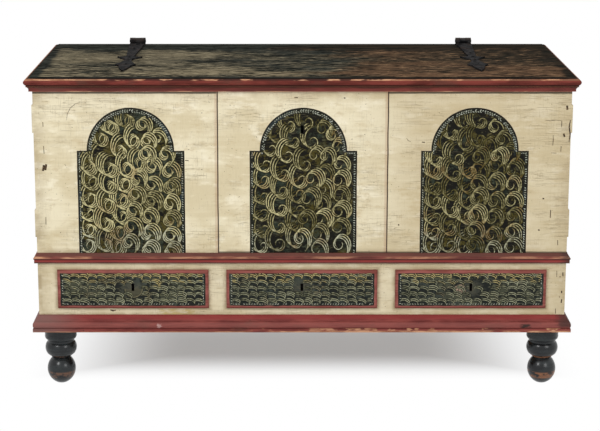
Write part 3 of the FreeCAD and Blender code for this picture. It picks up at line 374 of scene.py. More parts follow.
def front_paint():
    """The front board: cream fields parted by two dark lines, with three dark arches."""
    finish = Finish("cream_front_paint", DULL)
    x, z = finish.x, finish.z
    colour, height, lines = cream_colour(finish)
    # Painted shade under the cornice and just above the waist moulding, and dirt at the ends, laid
    # in one blotted brown coat.
    high = rise(z, CORNICE_LOW - 0.03, CORNICE_LOW)
    low = fall(z, WAIST_HIGH, WAIST_HIGH + 0.015)
    ends = rise(abs(x), SIDE - DIRTY_END, SIDE)
    colour = coats(colour, dirt_and_shade(finish, 0.6, most(high * 0.6, low, ends * 0.8)),
                   (TAN, rise(x, 0.10, 0.30) * 0.45))

    wander = (finish.cloud((0.03, 0.03, 0.05), 3.0, 1.0, 0.5) - 0.5) * 0.004
    for middle in PANEL_LINES:
        line = near(x + wander * 0.4, middle, 0.0012, 0.0007)
        rub = near(x, middle - 0.004, 0.001, 0.004)
        colour = coats(colour, ((46, 33, 27), line * 0.95), ((170, 128, 100), rub * 0.35))
    top_line = near(z + wander * 0.4, CORNICE_LOW - 0.0038, 0.0018, 0.001)
    top_line = top_line * rise(abs(x), PANEL_LINES[1] - 0.002, PANEL_LINES[1])
    foot_line = near(z + wander * 0.4, WAIST_HIGH + 0.0015, 0.0012, 0.001)
    foot_line = foot_line * rise(x, PANEL_LINES[0], PANEL_LINES[0] + 0.001)
    colour = over(colour, (64, 52, 42), most(top_line, foot_line) * 0.8)

    across = least(*(abs(x - arch["middle"]) for arch in ARCHES.values())) + wander * 0.35
    up = z + wander * 0.35 - ARCH_SHOULDER
    inset = least(most(across - ARCH_HALF, up), distance(across, up) - ARCH_RADIUS)
    share = 0.9 - rise(x, -0.2, -0.1) * 0.55 - rise(x, 0.2, 0.3) * 0.35
    rim = rise(inset, -0.0125, -0.0095)
    cold = finish.cloud((0.05, 0.05, 0.08), 44.0, 2.0, 0.5)
    ground = coats(dark_ground(finish, (14, 13, 7), (68, 60, 20), (38, 46, 36), share),
                   ((24, 26, 20), rim * 0.8),
                   ((48, 60, 66), rim * rise(cold, 0.56, 0.66) * 0.5),
                   ((14, 14, 11), rise(inset, -0.0034, -0.0020) * 0.9))
    arch = fall(inset, -0.0004, 0.0004)
    wood, grain = pine_colour(finish, "x")
    skin = painted_skin(finish)
    # The chest's keyhole is painted dark within: painted shade.
    away = distance(x - CHEST_KEYHOLE[0], z - CHEST_KEYHOLE[1])
    colour = coats(colour, (ground, arch), ((150, 140, 110), lines * arch * 0.3),
                   (wood, 1 - skin), (HOLE, fall(away, 0.012, 0.014) * (1 - skin)))
    return finish.done(colour, 0.82 - skin * 0.2, over(grain, height, skin), WOOD_BUMP)


def dark_ground(finish, black, olive, green, share):
    """Black-green paint, thin enough in places that the olive or green under it shows."""
    thin = finish.cloud((0.045, 0.045, 0.035), 51.0)
    mottle = finish.cloud((0.010, 0.010, 0.006), 57.0, 3.0, 0.65)
    hue = finish.cloud((0.09, 0.09, 0.09), 59.0, 2.0, 0.5)
    under = over(olive, green, rise(hue + (mottle - 0.5) * 0.4, 0.48, 0.60))
    mask = rise(thin + (mottle - 0.5) * 0.9 + share * 0.12, 0.50, 0.66)
    rub = rise(mottle, 0.56, 0.70)
    return coats(black, (under, mask), ((112, 106, 76), rub * 0.35))


# ---------------------------------------------------------------- red mouldings

def red_colour(finish, low, high, shift):
    """Red paint, clouded and darkened, with black spots where it has flaked."""
    cloud = finish.cloud((0.10, 0.10, 0.02), shift)
    fine = finish.cloud((0.05, 0.05, 0.003), shift + 3)
    dirt = rise(finish.cloud((0.09, 0.09, 0.05), shift + 9), 0.58, 0.72)
    spot = rise(finish.cloud((0.006, 0.006, 0.004), shift + 13, 1.0, 0.5), 0.74, 0.79)
    colour = over(low, high, rise(cloud * 0.6 + fine * 0.4, 0.40, 0.60))
    return coats(colour, ((84, 58, 48), dirt * 0.5), ((44, 30, 26), spot * 0.85)), fine


def bare_wood(finish, mask, shift, long, low, high):
    """A coat of bare wood: paint rubbed away in stretches along an edge."""
    stretch = finish.cloud((long, long, 0.02), shift)
    fibre = finish.cloud((0.03, 0.03, 0.003), shift + 2, 2.0, 0.5)
    wood = over((150, 100, 74), (196, 146, 112), rise(fibre, 0.4, 0.6))
    return wood, mask * rise(stretch, low, high)


def moulding(name, low, high, shift, foot):
    """A red moulding's finish and colour, its fine noise, and the height above its foot."""
    finish = Finish(name, SATIN)
    return finish, *red_colour(finish, low, high, shift), finish.z - foot


def waist_paint():
    """The waist moulding: a bead rubbed to wood, a bright member and a dark quirk between."""
    finish, colour, fine, z = moulding("red_waist_paint", (92, 46, 40), (122, 64, 55), 60.0,
                                       WAIST_LOW)
    bead = near(z, 0.0140, 0.0014, 0.0015)
    left = fall(finish.x, -0.60, -0.20)
    member = near(z, 0.0058, 0.0012, 0.0014)
    quirk = near(z, 0.0088, 0.0006, 0.001)
    foot = fall(z, 0.0008, 0.0024)
    corner = rise(finish.x + (fine - 0.5) * 0.04, 0.604, 0.624)
    colour = coats(colour, ((88, 52, 42), rise(z, 0.015, 0.019) * 0.7),
                   bare_wood(finish, bead * (left * 0.4 + 0.6), 63.0, 0.12, 0.40, 0.56),
                   ((146, 46, 44), member * 0.7), ((52, 26, 23), quirk * 0.8),
                   ((70, 34, 29), foot * 0.7), ((58, 40, 33), corner * 0.75))
    return finish.done(colour, 0.5 + fine * 0.2, fine, PAINT_BUMP)


def base_paint():
    """The base moulding: a scored line, an edge worn most on the right, a smudge and chips."""
    finish, colour, fine, z = moulding("red_base_paint", (98, 40, 36), (130, 62, 55), 75.0,
                                       BASE_LOW)
    x = finish.x
    left = fall(x, -0.62, -0.50)
    right = rise(x, -0.35, 0.15)
    wander = (finish.cloud((0.06, 0.06, 0.02), 77.0, 2.0, 0.5) - 0.5) * 0.002
    score = near(z + wander, 0.0093, 0.0004, 0.0012)
    edge = fall(z + wander - right * 0.0020, 0.0012, 0.0030) * (0.6 + right * 0.4)
    smut = finish.cloud((0.012, 0.012, 0.006), 79.0)
    smudge = near(x, 0.532, 0.006, 0.012) * near(z, 0.0150, 0.003, 0.004)
    corner = rise(x + (smut - 0.5) * 0.03, 0.600, 0.620) * rise(z, 0.008, 0.016)
    chips = rise(x, -0.25, 0.25) * near(z, 0.0060, 0.0028, 0.002)
    fleck = finish.cloud((0.005, 0.005, 0.004), 85.0, 3.0, 0.7) * 0.018 - 0.006
    chip = fall(distance(x + 0.339, z - 0.016) + fleck, 0.006, 0.009)
    colour = coats(colour, ((136, 44, 42), rise(z, 0.026, 0.034) * 0.6),
                   ((118, 86, 80), left * 0.8), ((76, 34, 30), score * 0.6),
                   ((150, 90, 82), near(z, 0.0173, 0.004, 0.004) * 0.35),
                   bare_wood(finish, edge, 78.0, 0.06, 0.30, 0.48),
                   ((54, 38, 33), most(smudge * rise(smut, 0.4, 0.55), corner * 0.75)),
                   bare_wood(finish, chips, 82.0, 0.04, 0.55, 0.62),
                   ((186, 150, 144), chip * 0.75))
    return finish.done(colour, 0.5 + fine * 0.2, fine, PAINT_BUMP)


def cornice_paint():
    """The moulding under the lid: dark in the lid's shade, painted in, with a painted highlight and
    stretches of wear along its lower edge.
    """
    finish, colour, fine, z = moulding("red_cornice_paint", (84, 38, 32), (116, 52, 44), 90.0,
                                       CORNICE_LOW)
    edge = fall(z, 0.0006, 0.0018)
    # A pale band along the lower edge is a painted highlight; bare wood shows through it in
    # stretches.
    colour = coats(colour, ((50, 25, 22), rise(z, 0.0090, 0.0115) * 0.8),
                   ((150, 84, 66), edge * 0.6),
                   bare_wood(finish, edge, 93.0, 0.10, 0.50, 0.60))
    return finish.done(colour, 0.5 + fine * 0.2, fine, PAINT_BUMP)


def lid_paint():
    """The lid: a worn dark top, a red thumb moulding rubbed to wood, and bare pine below."""
    finish = Finish("worn_lid_paint", {"Specular IOR Level": 0.0, "Coat Roughness": 0.45})
    x, y, z = finish.x, finish.y, finish.z
    long = finish.cloud((0.20, 0.022, 0.3), 5.0, 4.0, 0.65)
    fibre = finish.cloud((0.036, 0.0090, 0.1), 8.0, 3.0, 0.7)
    patch = finish.cloud((0.26, 0.11, 0.2), 12.0, 2.0, 0.55)
    right = rise(x + (patch - 0.5) * 0.8, -0.05, 0.18)
    ahead = fall(y, -0.25, -0.08)
    khaki = over((104, 97, 80), (132, 121, 98), rise(patch * 0.5 + ahead * 0.3, 0.2, 0.5))
    brown = over((58, 46, 37), (94, 67, 50), rise(patch * 0.6 + ahead * 0.25, 0.25, 0.5))
    bare = over(khaki, brown, right * 0.85)
    thin = over((60, 62, 57), (56, 48, 40), right)
    dark = over((32, 34, 31), thin, rise(long * 0.5 + fibre * 0.5, 0.42, 0.56))
    back = rise(y + (long - 0.5) * 0.3, 0.08, 0.24)
    side = rise(abs(x) + (fibre - 0.5) * 0.05, 0.600, 0.630)
    edge = most(rise(-y, 0.250, 0.262), side * 0.8, back)
    level = long * 0.28 + patch * 0.36 + fibre * 0.56 - edge * 0.22
    level = level - near(x, -0.02, 0.12, 0.10) * 0.035
    bright = rise(fibre, 0.54, 0.64) * rise(level, 0.54, 0.68)
    streaked = over((168, 156, 128), (152, 122, 92), right)
    split = most(finish.cracks((0.22, 0.030, 0.3), 0.52, 0.020, 19.0),
                 finish.cracks((0.07, 0.014, 0.3), 0.56, 0.026, 21.0))
    colour = coats(dark, (bare, rise(level, 0.50, 0.62)), (streaked, bright * 0.75),
                   ((20, 19, 17), split * 0.8))

    red, _ = red_colour(finish, (88, 40, 34), (120, 56, 48), 105.0)
    below = LID_TOP - z
    strip = near(below, 0.0034, 0.0010, 0.0012)
    whole = most(fall(x, -0.50, -0.44), rise(x, 0.05, 0.30) * 0.5)
    # The red darkens at the nose's foot, just above the cornice: painted shade in the gap there.
    red = coats(red, ((54, 34, 29), near(below, 0.0030, 0.0012, 0.0014) * 0.8),
                ((172, 124, 95), strip * whole * 0.85),
                bare_wood(finish, strip, 108.0, 0.06, 0.48, 0.56),
                ((48, 27, 23), rise(below, 0.0140, 0.0165) * 0.8))
    nose = rise(below, 0.0011, 0.0017)
    # A near-black line along the nose's top edge, except at the sides: painted shade in the quirk.
    brow = near(below, 0.0012, 0.0006, 0.0006) * (1 - side)

    wood, _ = pine_colour(finish, "x")
    under = rise(below, 0.0196, 0.0199)
    rear = rise(y, LID_REAR - 0.0004, LID_REAR - 0.0001)
    colour = coats(colour, (red, nose), ((30, 24, 20), brow * 0.85), (wood, most(under, rear)))
    height = long * 0.6 + fibre * 0.5 - split
    return finish.done(colour, 0.85 - nose * 0.2, height, 0.0009, nose * 0.12)


# ---------------------------------------------------------------- drawers, feet, iron

def drawer_paint():
    """A drawer front: a dark combed panel in a red border, and bare pine behind the lip.

    The left drawer has the ghost of a round mount, and the right one a rosette.
    """
    finish = Finish("drawer_front_paint", DULL)
    x, z = finish.x, finish.z
    colour, fine = red_colour(finish, (118, 62, 54), (146, 84, 76), 120.0)
    wander = (finish.cloud((0.02, 0.02, 0.02), 3.0, 1.0, 0.5) - 0.5) * 0.003
    beyond, across = past_drawer(finish)
    # Painted shade: the red border darkens along the drawer's lower edge.
    foot = fall(z, DRAWER_LOW + 0.001, DRAWER_LOW + 0.007)

    away = distance(across * WEAR_SQUASH, z - KEYHOLE_Z + WEAR_DROP)
    rubbed = finish.cloud((0.012, 0.012, 0.006), 131.0)
    worn = fall(away + (rubbed - 0.5) * 0.05, 0.008, 0.026)
    rub = over((58, 60, 52), (86, 82, 66), rise(rubbed, 0.42, 0.6))
    up = z - 0.2465
    ring = distance(x + 0.3985, up) + (rubbed - 0.5) * 0.002
    lower = fall(up, -0.001, 0.0015)
    petal = distance(x - 0.374, z - 0.2435)
    rings = most(near(petal, 0.0120, 0.0012, 0.0012), near(petal, 0.0068, 0.0012, 0.0012),
                 fall(petal, 0.0015, 0.0035))
    ground = coats(dark_ground(finish, (26, 29, 26), (64, 66, 52), (54, 60, 54), 0.44),
                   (rub, worn * 0.8),
                   ((74, 71, 54), fall(ring, 0.0190, 0.0215) * lower * 0.7),
                   ((132, 124, 92), near(ring, 0.0204, 0.0003, 0.0007) * lower * 0.7),
                   ((24, 24, 18), near(ring, 0.0226, 0.0006, 0.0009) * lower * 0.8),
                   ((86, 74, 60), fall(petal, 0.013, 0.015) * 0.8),
                   ((176, 152, 130), rings * rise(rubbed, 0.36, 0.56) * 0.8))

    face = rise(-finish.y, -LIP - 0.0015, -LIP - 0.0005)
    lip = rise(-finish.y, -FRONT - 0.0012, -FRONT - FILM)
    wood, _ = pine_colour(finish, "x")
    # The keyhole is painted dark within: painted shade.
    colour = coats(colour, ((108, 44, 36), foot * 0.8),
                   (ground, fall(beyond + wander, -0.0074, -0.0068) * face),
                   (wood, 1 - lip), (HOLE, fall(away, 0.016, 0.018) * (1 - face)))
    return finish.done(colour, 0.8 - lip * 0.25, fine, PAINT_BUMP)


def foot_paint():
    """Black-green paint on the turned feet, rubbed brown where boots and mops caught them."""
    finish = Finish("dark_foot_paint", {"Specular IOR Level": 0.1, "Coat Weight": 0.55,
                                        "Coat Roughness": 0.21})
    z = finish.z
    turned = finish.cloud((0.5, 0.5, 0.0025), 141.0, 2.0, 0.5)
    cloud = finish.cloud((0.03, 0.03, 0.016), 144.0)
    right = rise(finish.x, -0.1, 0.1)
    ring = near(z, 0.0680, 0.0018, 0.0035)
    ball = near(z, 0.0235, 0.0045, 0.006) * (0.75 + right * 0.25)
    worn = most(ring * rise(cloud + right * 0.07, 0.46, 0.56),
                ball * rise(cloud + right * 0.08 - finish.y * 0.15, 0.46, 0.58))
    bare = over((96, 72, 58), (150, 98, 64), right * 0.5 + rise(turned, 0.4, 0.6) * 0.5)
    score = most(near(z, 0.0845, 0.0004, 0.0005), near(z, 0.0590, 0.0004, 0.0006),
                 near(z, 0.0640, 0.0006, 0.0008))
    colour = over((8, 11, 14), (32, 37, 38), rise(turned * 0.4 + cloud * 0.6, 0.4, 0.62))
    colour = coats(colour, (bare, worn * 0.85), ((10, 11, 11), score * 0.8))
    height = turned * 0.4 + cloud - score
    return finish.done(colour, 0.30 + cloud * 0.25 + worn * 0.25, height, PAINT_BUMP)


def iron_finish():
    """Forged iron, black in its hollows, with the heads of flush rivets on the back leaves."""
    finish = Finish("forged_iron", {"Specular IOR Level": 0.0, "Coat Weight": 0.08,
                                    "Coat Roughness": 0.4})
    hammered = finish.cloud((0.012, 0.012, 0.012), 151.0, 2.0, 0.5)
    rust = rise(finish.cloud((0.02, 0.02, 0.02), 155.0, 4.0, 0.65), 0.52, 0.68)
    # Paler at the top of the barrel: rubbed iron, with a painted highlight there too.
    rubbed = rise(finish.z, LID_TOP + 0.0120, LID_TOP + 0.0165)
    heads = [distance(abs(finish.x) - HINGE_X, finish.z - LID_TOP + drop) for drop in RIVET_DROPS]
    behind = rise(finish.y, LEAF_BACK - 0.001, LEAF_BACK)
    ring = near(least(*heads), 0.0050, 0.0004, 0.0005) * behind
    colour = coats(over((18, 18, 19), (46, 45, 45), rise(hammered, 0.4, 0.62)),
                   ((52, 36, 28), rust * 0.5), ((84, 76, 72), rubbed * 0.5),
                   ((16, 15, 15), ring * 0.9))
    return finish.done(colour, 0.5 + rust * 0.3, hammered - ring, 0.0010)


def pine_finish(along):
    finish = Finish(f"bare_pine_{along}")
    colour, grain = pine_colour(finish, along)
    return finish.done(colour, 0.72 + grain * 0.2, grain, WOOD_BUMP)


def stroke_paint(name, dull, bright, cool, rubbed, height):
    """Combed paint: brightest in the middle of a stroke, thin at its ends, cool below a height."""
    finish = Finish(name, {"Roughness": 0.7, **DULL})
    tone, along, band = map(finish.read, ("tone", "along", "band"))
    streak = finish.cloud((0.007, 0.007, 0.007), 161.0)
    drift = finish.cloud((0.030, 0.030, 0.012), 173.0, 2.0)
    rub = rise(finish.cloud((0.05, 0.05, 0.05), 167.0), 0.55, 0.66)
    fine = rise(finish.cloud((0.004, 0.004, 0.004), 169.0, 2.0), 0.52, 0.66)
    body = rise(along, 0.0, 0.14) * (1 - rise(along, 0.80, 1.0) * 0.5)
    mask = rise(tone + (streak - 0.5) * 1.2 + body * 0.35, 0.35, 1.15)
    upper = rise(finish.z + (drift - 0.5) * 0.12, height - 0.006, height + 0.006)
    share = 1 - rise(finish.x, -0.25, -0.15) * 0.40 - rise(finish.x, 0.15, 0.30) * 0.35
    pushed = over((17, 17, 9), (60, 54, 18), rise(streak, 0.44, 0.64) * share)
    colour = coats(dull, (over(cool, bright, upper), mask), (rubbed, rub * 0.38),
                   (dull, fine * 0.8), (pushed, band))
    return finish.done(colour, None, streak, STROKE_BUMP)


def mark_paint():
    """Bruises, cracks and old nails in the paint."""
    finish = Finish("paint_marks", {"Roughness": 0.8, "Specular IOR Level": 0.15})
    fleck = finish.cloud((0.004, 0.004, 0.004), 171.0, 2.0)
    colour = over((52, 40, 30), (112, 90, 66), rise(fleck, 0.46, 0.62))
    return finish.done(colour, None, fleck, STROKE_BUMP)


# ---------------------------------------------------------------- geometry node trees

class Grower(Tree):
    """A geometry tree with named inputs, run on a mesh of points or edges."""

    def __init__(self, name, **inputs):
        group = bpy.data.node_groups.new(name, "GeometryNodeTree")
        super().__init__(group)
        for label, kind in (("Geometry", "Geometry"), *inputs.items(), ("Material", "Material")):
            group.interface.new_socket(label.replace("_", " "), in_out="INPUT",
                                       socket_type=f"NodeSocket{kind}")
        group.interface.new_socket("Geometry", in_out="OUTPUT", socket_type="NodeSocketGeometry")
        self.source = self.node("NodeGroupInput")

    def given(self, name):
        return self.source.also(name)

    def read(self, name, kind="FLOAT"):
        return self.node("GeometryNodeInputNamedAttribute", {"Name": name}, data_type=kind)

    def store(self, geometry, name, value, kind="FLOAT", domain="POINT"):
        return self.node("GeometryNodeStoreNamedAttribute",
                         {"Geometry": geometry, "Name": name, "Value": value},
                         data_type=kind, domain=domain)

    def chance(self, low, high, offset):
        """A random number for each point, from the tree's seed and an offset of it."""
        return self.node("FunctionNodeRandomValue",
                         {2: low, 3: high, "Seed": self.given("Seed") + offset}, 1,
                         data_type="FLOAT")

    def spun(self, rotation, angle):
        """A rotation turned by an angle about its own Z."""
        twist = self.node("ShaderNodeCombineXYZ", {"Z": angle})
        return self.node("FunctionNodeRotateRotation", {"Rotation": rotation, "Rotate By": twist},
                         rotation_space="LOCAL")

    def flat(self, path):
        return self.node("GeometryNodeSetCurveNormal", {"Curve": path}, mode="Z_UP")

    def ribbon(self, path, width):
        """A flat strip along a path, which lies level."""
        blade = self.node("GeometryNodeCurvePrimitiveLine",
                          {"Start": (0.5, 0.0, 0.0), "End": (-0.5, 0.0, 0.0)})
        return self.node("GeometryNodeCurveToMesh",
                         {"Curve": path, "Profile Curve": blade, "Scale": width})

    def close(self, geometry):
        realized = self.node("GeometryNodeRealizeInstances", {"Geometry": geometry})
        painted = self.node("GeometryNodeSetMaterial",
                            {"Geometry": realized, "Material": self.given("Material")})
        end = self.tree.nodes.new("NodeGroupOutput")
        self.tree.links.new(painted.socket, end.inputs[0])
        return self


def comb_tree():
    """A toothed comb dragged round at each point, winding in to end there.

    Each point carries arc (start, sweep, shrink), reach (x, y, turn), drift (x and y from the
    point to the middle of the first sweep) and comb (angle and spread of its teeth), with its
    tone, number of teeth, leading tooth and how much sooner each other tooth lifts off. Each tooth
    leaves a pale line in a band of pushed-up dark paint. What would leave the panel or cross the
    keyhole is cleared away.
    """
    tree = Grower("combed_strokes", Tooth_gap="Float", Line_width="Float", Band_width="Float",
                  Steps="Int", Panel="Vector", Half_width="Float", Head_radius="Float",
                  Floor="Float", Keyhole="Vector", Keyhole_room="Float")
    points = tree.store(tree.given("Geometry"), "home", tree.node("GeometryNodeInputPosition"),
                        "FLOAT_VECTOR")
    copies = tree.node("GeometryNodeDuplicateElements",
                       {"Geometry": points, "Amount": tree.read("teeth", "INT")}, domain="POINT")
    teeth = tree.store(copies, "tooth", copies.also("Duplicate Index"))
    line = tree.node("GeometryNodeResampleCurve",
                     {"Curve": tree.node("GeometryNodeCurvePrimitiveLine"),
                      "Count": tree.given("Steps")}, mode="COUNT")
    lines = tree.node("GeometryNodeInstanceOnPoints", {"Points": teeth, "Instance": line})
    lines = tree.node("GeometryNodeRealizeInstances", {"Geometry": lines})
    lines = tree.store(lines, "along", tree.node("GeometryNodeSplineParameter"))

    along = tree.read("along")
    tooth = tree.read("tooth") - tree.read("lead")
    behind = abs(tooth)
    t = along * (1 - tree.read("lag") * (least(behind, 1.0) * 0.24 + behind * 0.12))
    start, sweep, shrink = tree.parts(tree.read("arc", "FLOAT_VECTOR"))
    reach_x, reach_y, turn = tree.parts(tree.read("reach", "FLOAT_VECTOR"))
    drift_x, drift_y, _ = tree.parts(tree.read("drift", "FLOAT_VECTOR"))
    comb, spread, _ = tree.parts(tree.read("comb", "FLOAT_VECTOR"))
    angle = start + sweep * t
    early = (1 - t) ** 2
    size = 1 - shrink * t * t
    offset = tooth * spread * tree.given("Tooth gap") * (1 - shrink * t * 0.75)
    x = reach_x * size * tree.maths("COSINE", angle) + drift_x * early
    y = reach_y * size * tree.maths("SINE", angle) + drift_y * early
    spot = tree.node("ShaderNodeCombineXYZ",
                     {"X": x + offset * tree.maths("COSINE", comb),
                      "Y": y + offset * tree.maths("SINE", comb),
                      "Z": behind * 0.0000015 + t * 0.000014})
    spot = tree.node("ShaderNodeVectorRotate", {"Vector": spot, "Angle": turn},
                     rotation_type="Z_AXIS")
    spot = tree.vectors("ADD", spot, tree.read("home", "FLOAT_VECTOR"))
    lines = tree.node("GeometryNodeSetPosition", {"Geometry": lines, "Position": spot})
    lines = tree.flat(lines)
    ends = least(along * 9 + 0.35, (1 - along) * 5 + 0.25, 1.0)
    pale = tree.node("GeometryNodeTransform",
                     {"Geometry": tree.ribbon(lines, ends * tree.given("Line width")),
                      "Translation": (0.0, 0.0, 0.000006)})
    band = tree.store(tree.ribbon(lines, ends * tree.given("Band width")), "band", 1.0)
    strokes = tree.node("GeometryNodeJoinGeometry")
    for part in (pale, band):
        tree.tree.links.new(part.socket, strokes.socket.node.inputs[0])

    place = tree.node("GeometryNodeInputPosition")
    across, up, _ = tree.parts(tree.vectors("SUBTRACT", place, tree.given("Panel")))
    across = abs(across)
    body = most(across - tree.given("Half width"), up)
    head = distance(across, up) - tree.given("Head radius")
    beyond = tree.maths("GREATER_THAN", least(body, head), 0.0)
    below = tree.maths("LESS_THAN", tree.parts(place)[1], tree.given("Floor"))
    away = tree.vectors("SUBTRACT", place, tree.given("Keyhole"))
    away = tree.vectors("LENGTH", tree.vectors("MULTIPLY", away, (1, 0.55, 0)), output=1)
    inside = tree.maths("LESS_THAN", away, tree.given("Keyhole room"))
    strokes = tree.node("GeometryNodeDeleteGeometry",
                        {"Geometry": strokes, "Selection": most(beyond, below, inside)},
                        domain="FACE")
    return tree.close(strokes)


def brush_tree():
    """A flat mark along each path, as wide as its points say."""
    tree = Grower("brushed_marks")
    path = tree.node("GeometryNodeMeshToCurve", {"Mesh": tree.given("Geometry")})
    return tree.close(tree.ribbon(tree.flat(path), tree.read("wide")))


def rope_tree():
    """Slanted dashes along a path, like a twisted rope, with some rubbed away."""
    tree = Grower("rope_edging", Pitch="Float", Slant="Float", Dash_length="Float",
                  Dash_width="Float", Kept="Float", Seed="Int")
    path = tree.node("GeometryNodeMeshToCurve", {"Mesh": tree.given("Geometry")})
    spots = tree.node("GeometryNodeCurveToPoints",
                      {"Curve": path, "Length": tree.given("Pitch")}, mode="LENGTH")
    kept = tree.node("FunctionNodeRandomValue",
                     {"Probability": tree.given("Kept"), "Seed": tree.given("Seed")}, 3,
                     data_type="BOOLEAN")
    facing = tree.node("FunctionNodeAlignRotationToVector", {"Vector": spots.also("Tangent")},
                       axis="X", pivot_axis="Z")
    facing = tree.spun(facing, tree.given("Slant") + tree.chance(-0.5, 0.5, 2))
    dot = tree.node("GeometryNodeMeshCircle", {"Vertices": 8, "Radius": 0.5}, fill_type="NGON")
    scale = tree.node("ShaderNodeCombineXYZ",
                      {"X": tree.chance(0.7, 1.2, 5) * tree.given("Dash length"),
                       "Y": tree.given("Dash width"), "Z": 1.0})
    dashes = tree.node("GeometryNodeInstanceOnPoints",
                       {"Points": spots, "Selection": kept, "Instance": dot,
                        "Rotation": facing, "Scale": scale})
    return tree.close(tree.store(dashes, "tone", tree.chance(0.2, 0.9, 9), domain="INSTANCE"))


def nail_tree():
    """Rose-headed nails, one on each point, driven along the point's facing."""
    tree = Grower("rose_nails", Head_radius="Float", Head_rise="Float", Seed="Int")
    head = tree.node("GeometryNodeMeshCone",
                     {"Vertices": 7, "Side Segments": 2, "Fill Segments": 1,
                      "Radius Top": tree.given("Head radius") * 0.28,
                      "Radius Bottom": tree.given("Head radius"), "Depth": tree.given("Head rise")})
    upright = tree.node("FunctionNodeAlignRotationToVector",
                        {"Vector": tree.read("facing", "FLOAT_VECTOR")}, axis="Z")
    nails = tree.node("GeometryNodeInstanceOnPoints",
                      {"Points": tree.given("Geometry"), "Instance": head,
                       "Rotation": tree.spun(upright, tree.chance(0.0, 6.28, 0)),
                       "Scale": tree.chance(0.85, 1.15, 3)})
    return tree.close(nails)


def put(name, data):
    """A new object in the scene."""
    made = bpy.data.objects.new(name, data)
    bpy.context.scene.collection.objects.link(made)
    return made


def grow(name, tree, mesh, inputs, face, body):
    """Run a tree on a mesh drawn flat, and keep the result as a plain piece on a face at y."""
    seed = put(f"{name}_seed", mesh)
    modifier = seed.modifiers.new("grow", "NODES")
    modifier.node_group = tree.tree
    for item in tree.tree.interface.items_tree:
        if item.in_out == "INPUT" and item.name in inputs:
            modifier[item.identifier] = inputs[item.name]
    settled = seed.evaluated_get(bpy.context.evaluated_depsgraph_get())
    made = bpy.data.meshes.new_from_object(settled)
    bpy.data.objects.remove(seed)
    if face is not None:
        made.transform(Matrix.Translation((0, face, 0)) @ Matrix.Rotation(math.pi / 2, 4, "X"))
    made.name = name
    piece = put(name, made)
    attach(piece, body)


def point_mesh(spots, attributes):
    """Loose points with their values: vectors, whole numbers or numbers."""
    kinds = {tuple: "FLOAT_VECTOR", int: "INT", float: "FLOAT"}
    mesh = bpy.data.meshes.new("spots")
    mesh.from_pydata(spots, [], [])
    for label, values in attributes.items():
        kind = type(values[0])
        layer = mesh.attributes.new(label, kinds[kind], "POINT")
        if kind is tuple:
            layer.data.foreach_set("vector", [part for value in values for part in value])
        else:
            layer.data.foreach_set("value", values)
    return mesh


def path_mesh(*paths):
    """Each path's points, joined one to the next."""
    spots, edges = [], []
    for path in paths:
        edges += [(index, index + 1) for index in range(len(spots), len(spots) + len(path) - 1)]
        spots += path
    mesh = bpy.data.meshes.new("paths")
    mesh.from_pydata(spots, edges, [])
    return mesh


# ---------------------------------------------------------------- combed ornament

class Strokes:
    """Comb strokes gathered for one piece, in layers a little above one another."""

    def __init__(self, seed):
        self.random = random.Random(seed)
        self.layer = 0
        self.spots = []
        self.values = {}

    def vary(self, value, by):
        return value + self.random.uniform(-by, by)

    def turn(self, degrees, by):
        return math.radians(self.vary(degrees, by))

    def add(self, x, z, **given):
        self.spots.append((x, z, STROKE_LIFT + self.layer * LAYER_RISE))
        for name, value in given.items():
            self.values.setdefault(name, []).append(value)

    def mesh(self):
        return point_mesh(self.spots, self.values)


def curl(strokes, x, z, side, turn, arch, scale):
    """One comb curl that bulges left (-1) or right (1) and winds into a small loop at x, z."""
    vary = strokes.vary
    teeth = strokes.random.choice((3, 3, 4))
    if side < 0:
        start, lead, angle = 84, teeth - 1.0, -32
        reach, drift = (0.0190, 0.0235), (-0.0010, 0.0175)
    else:
        start, lead, angle = -66, 0.0, 52
        reach, drift = (0.0180, 0.0210), (0.0030, -0.0150)
    arc = (strokes.turn(start, 10), strokes.turn(arch["sweep"], 35), vary(0.72, 0.05))
    reach = [vary(length, 0.0014) * scale for length in reach]
    drift = [vary(length, 0.0018) * scale for length in drift]
    comb = (strokes.turn(angle, 10), vary(1.06, 0.08), 0.0)
    strokes.add(x, z, arc=arc, reach=(*reach, turn), drift=(*drift, 0.0), comb=comb,
                tone=vary(arch["tone"], 0.20), teeth=teeth, lead=lead,
                lag=arch["lag"] * vary(1.0, 0.25))


def arch_curls(arch):
    """An arch's curls: those of its round head, then its columns."""
    strokes = Strokes(arch["seed"])
    vary = strokes.vary
    middle = arch["middle"]
    for number, (x, z, side) in enumerate(arch["head"]):
        strokes.layer = number
        turn = strokes.turn(0, 12)
        curl(strokes, middle + x / 1000, ARCH_SHOULDER + z / 1000, side, turn, arch, 0.92)
    for column, (*ends, count) in enumerate(arch["columns"]):
        side = ends.pop(2)
        top_x, low_x, top_z, low_z = (end / 1000 for end in ends)
        for number in range(count):
            strokes.layer = (count - number if side < 0 else number) + column % 2 * 6
            share = number / (count - 1)
            x = middle + top_x + (low_x - top_x) * share + vary(0, 0.002)
            z = ARCH_SHOULDER + top_z + (low_z - top_z) * share + vary(0, 0.002)
            turn = strokes.turn(0, 6)
            curl(strokes, x, z, side, turn, arch, vary(1.0, 0.05))
    return strokes.mesh()


def arch_rope(middle, inset, first, last):
    """Path inside an arch's edge, between two of its bends counted from its left foot."""
    head = ARCH_RADIUS - inset
    corner = ARCH_HALF - inset
    meet = math.asin(-inset / head)
    path = [(-corner, WAIST_HIGH - ARCH_SHOULDER), (-corner, -inset)]
    for step in range(25):
        angle = math.pi - meet - (math.pi - 2 * meet) * step / 24
        path.append((head * math.cos(angle), head * math.sin(angle)))
    path += [(corner, -inset), (corner, WAIST_HIGH - ARCH_SHOULDER)]
    return path_mesh([(middle + x, ARCH_SHOULDER + z, ARCH_ROPE_LIFT) for x, z in path[first:last]])


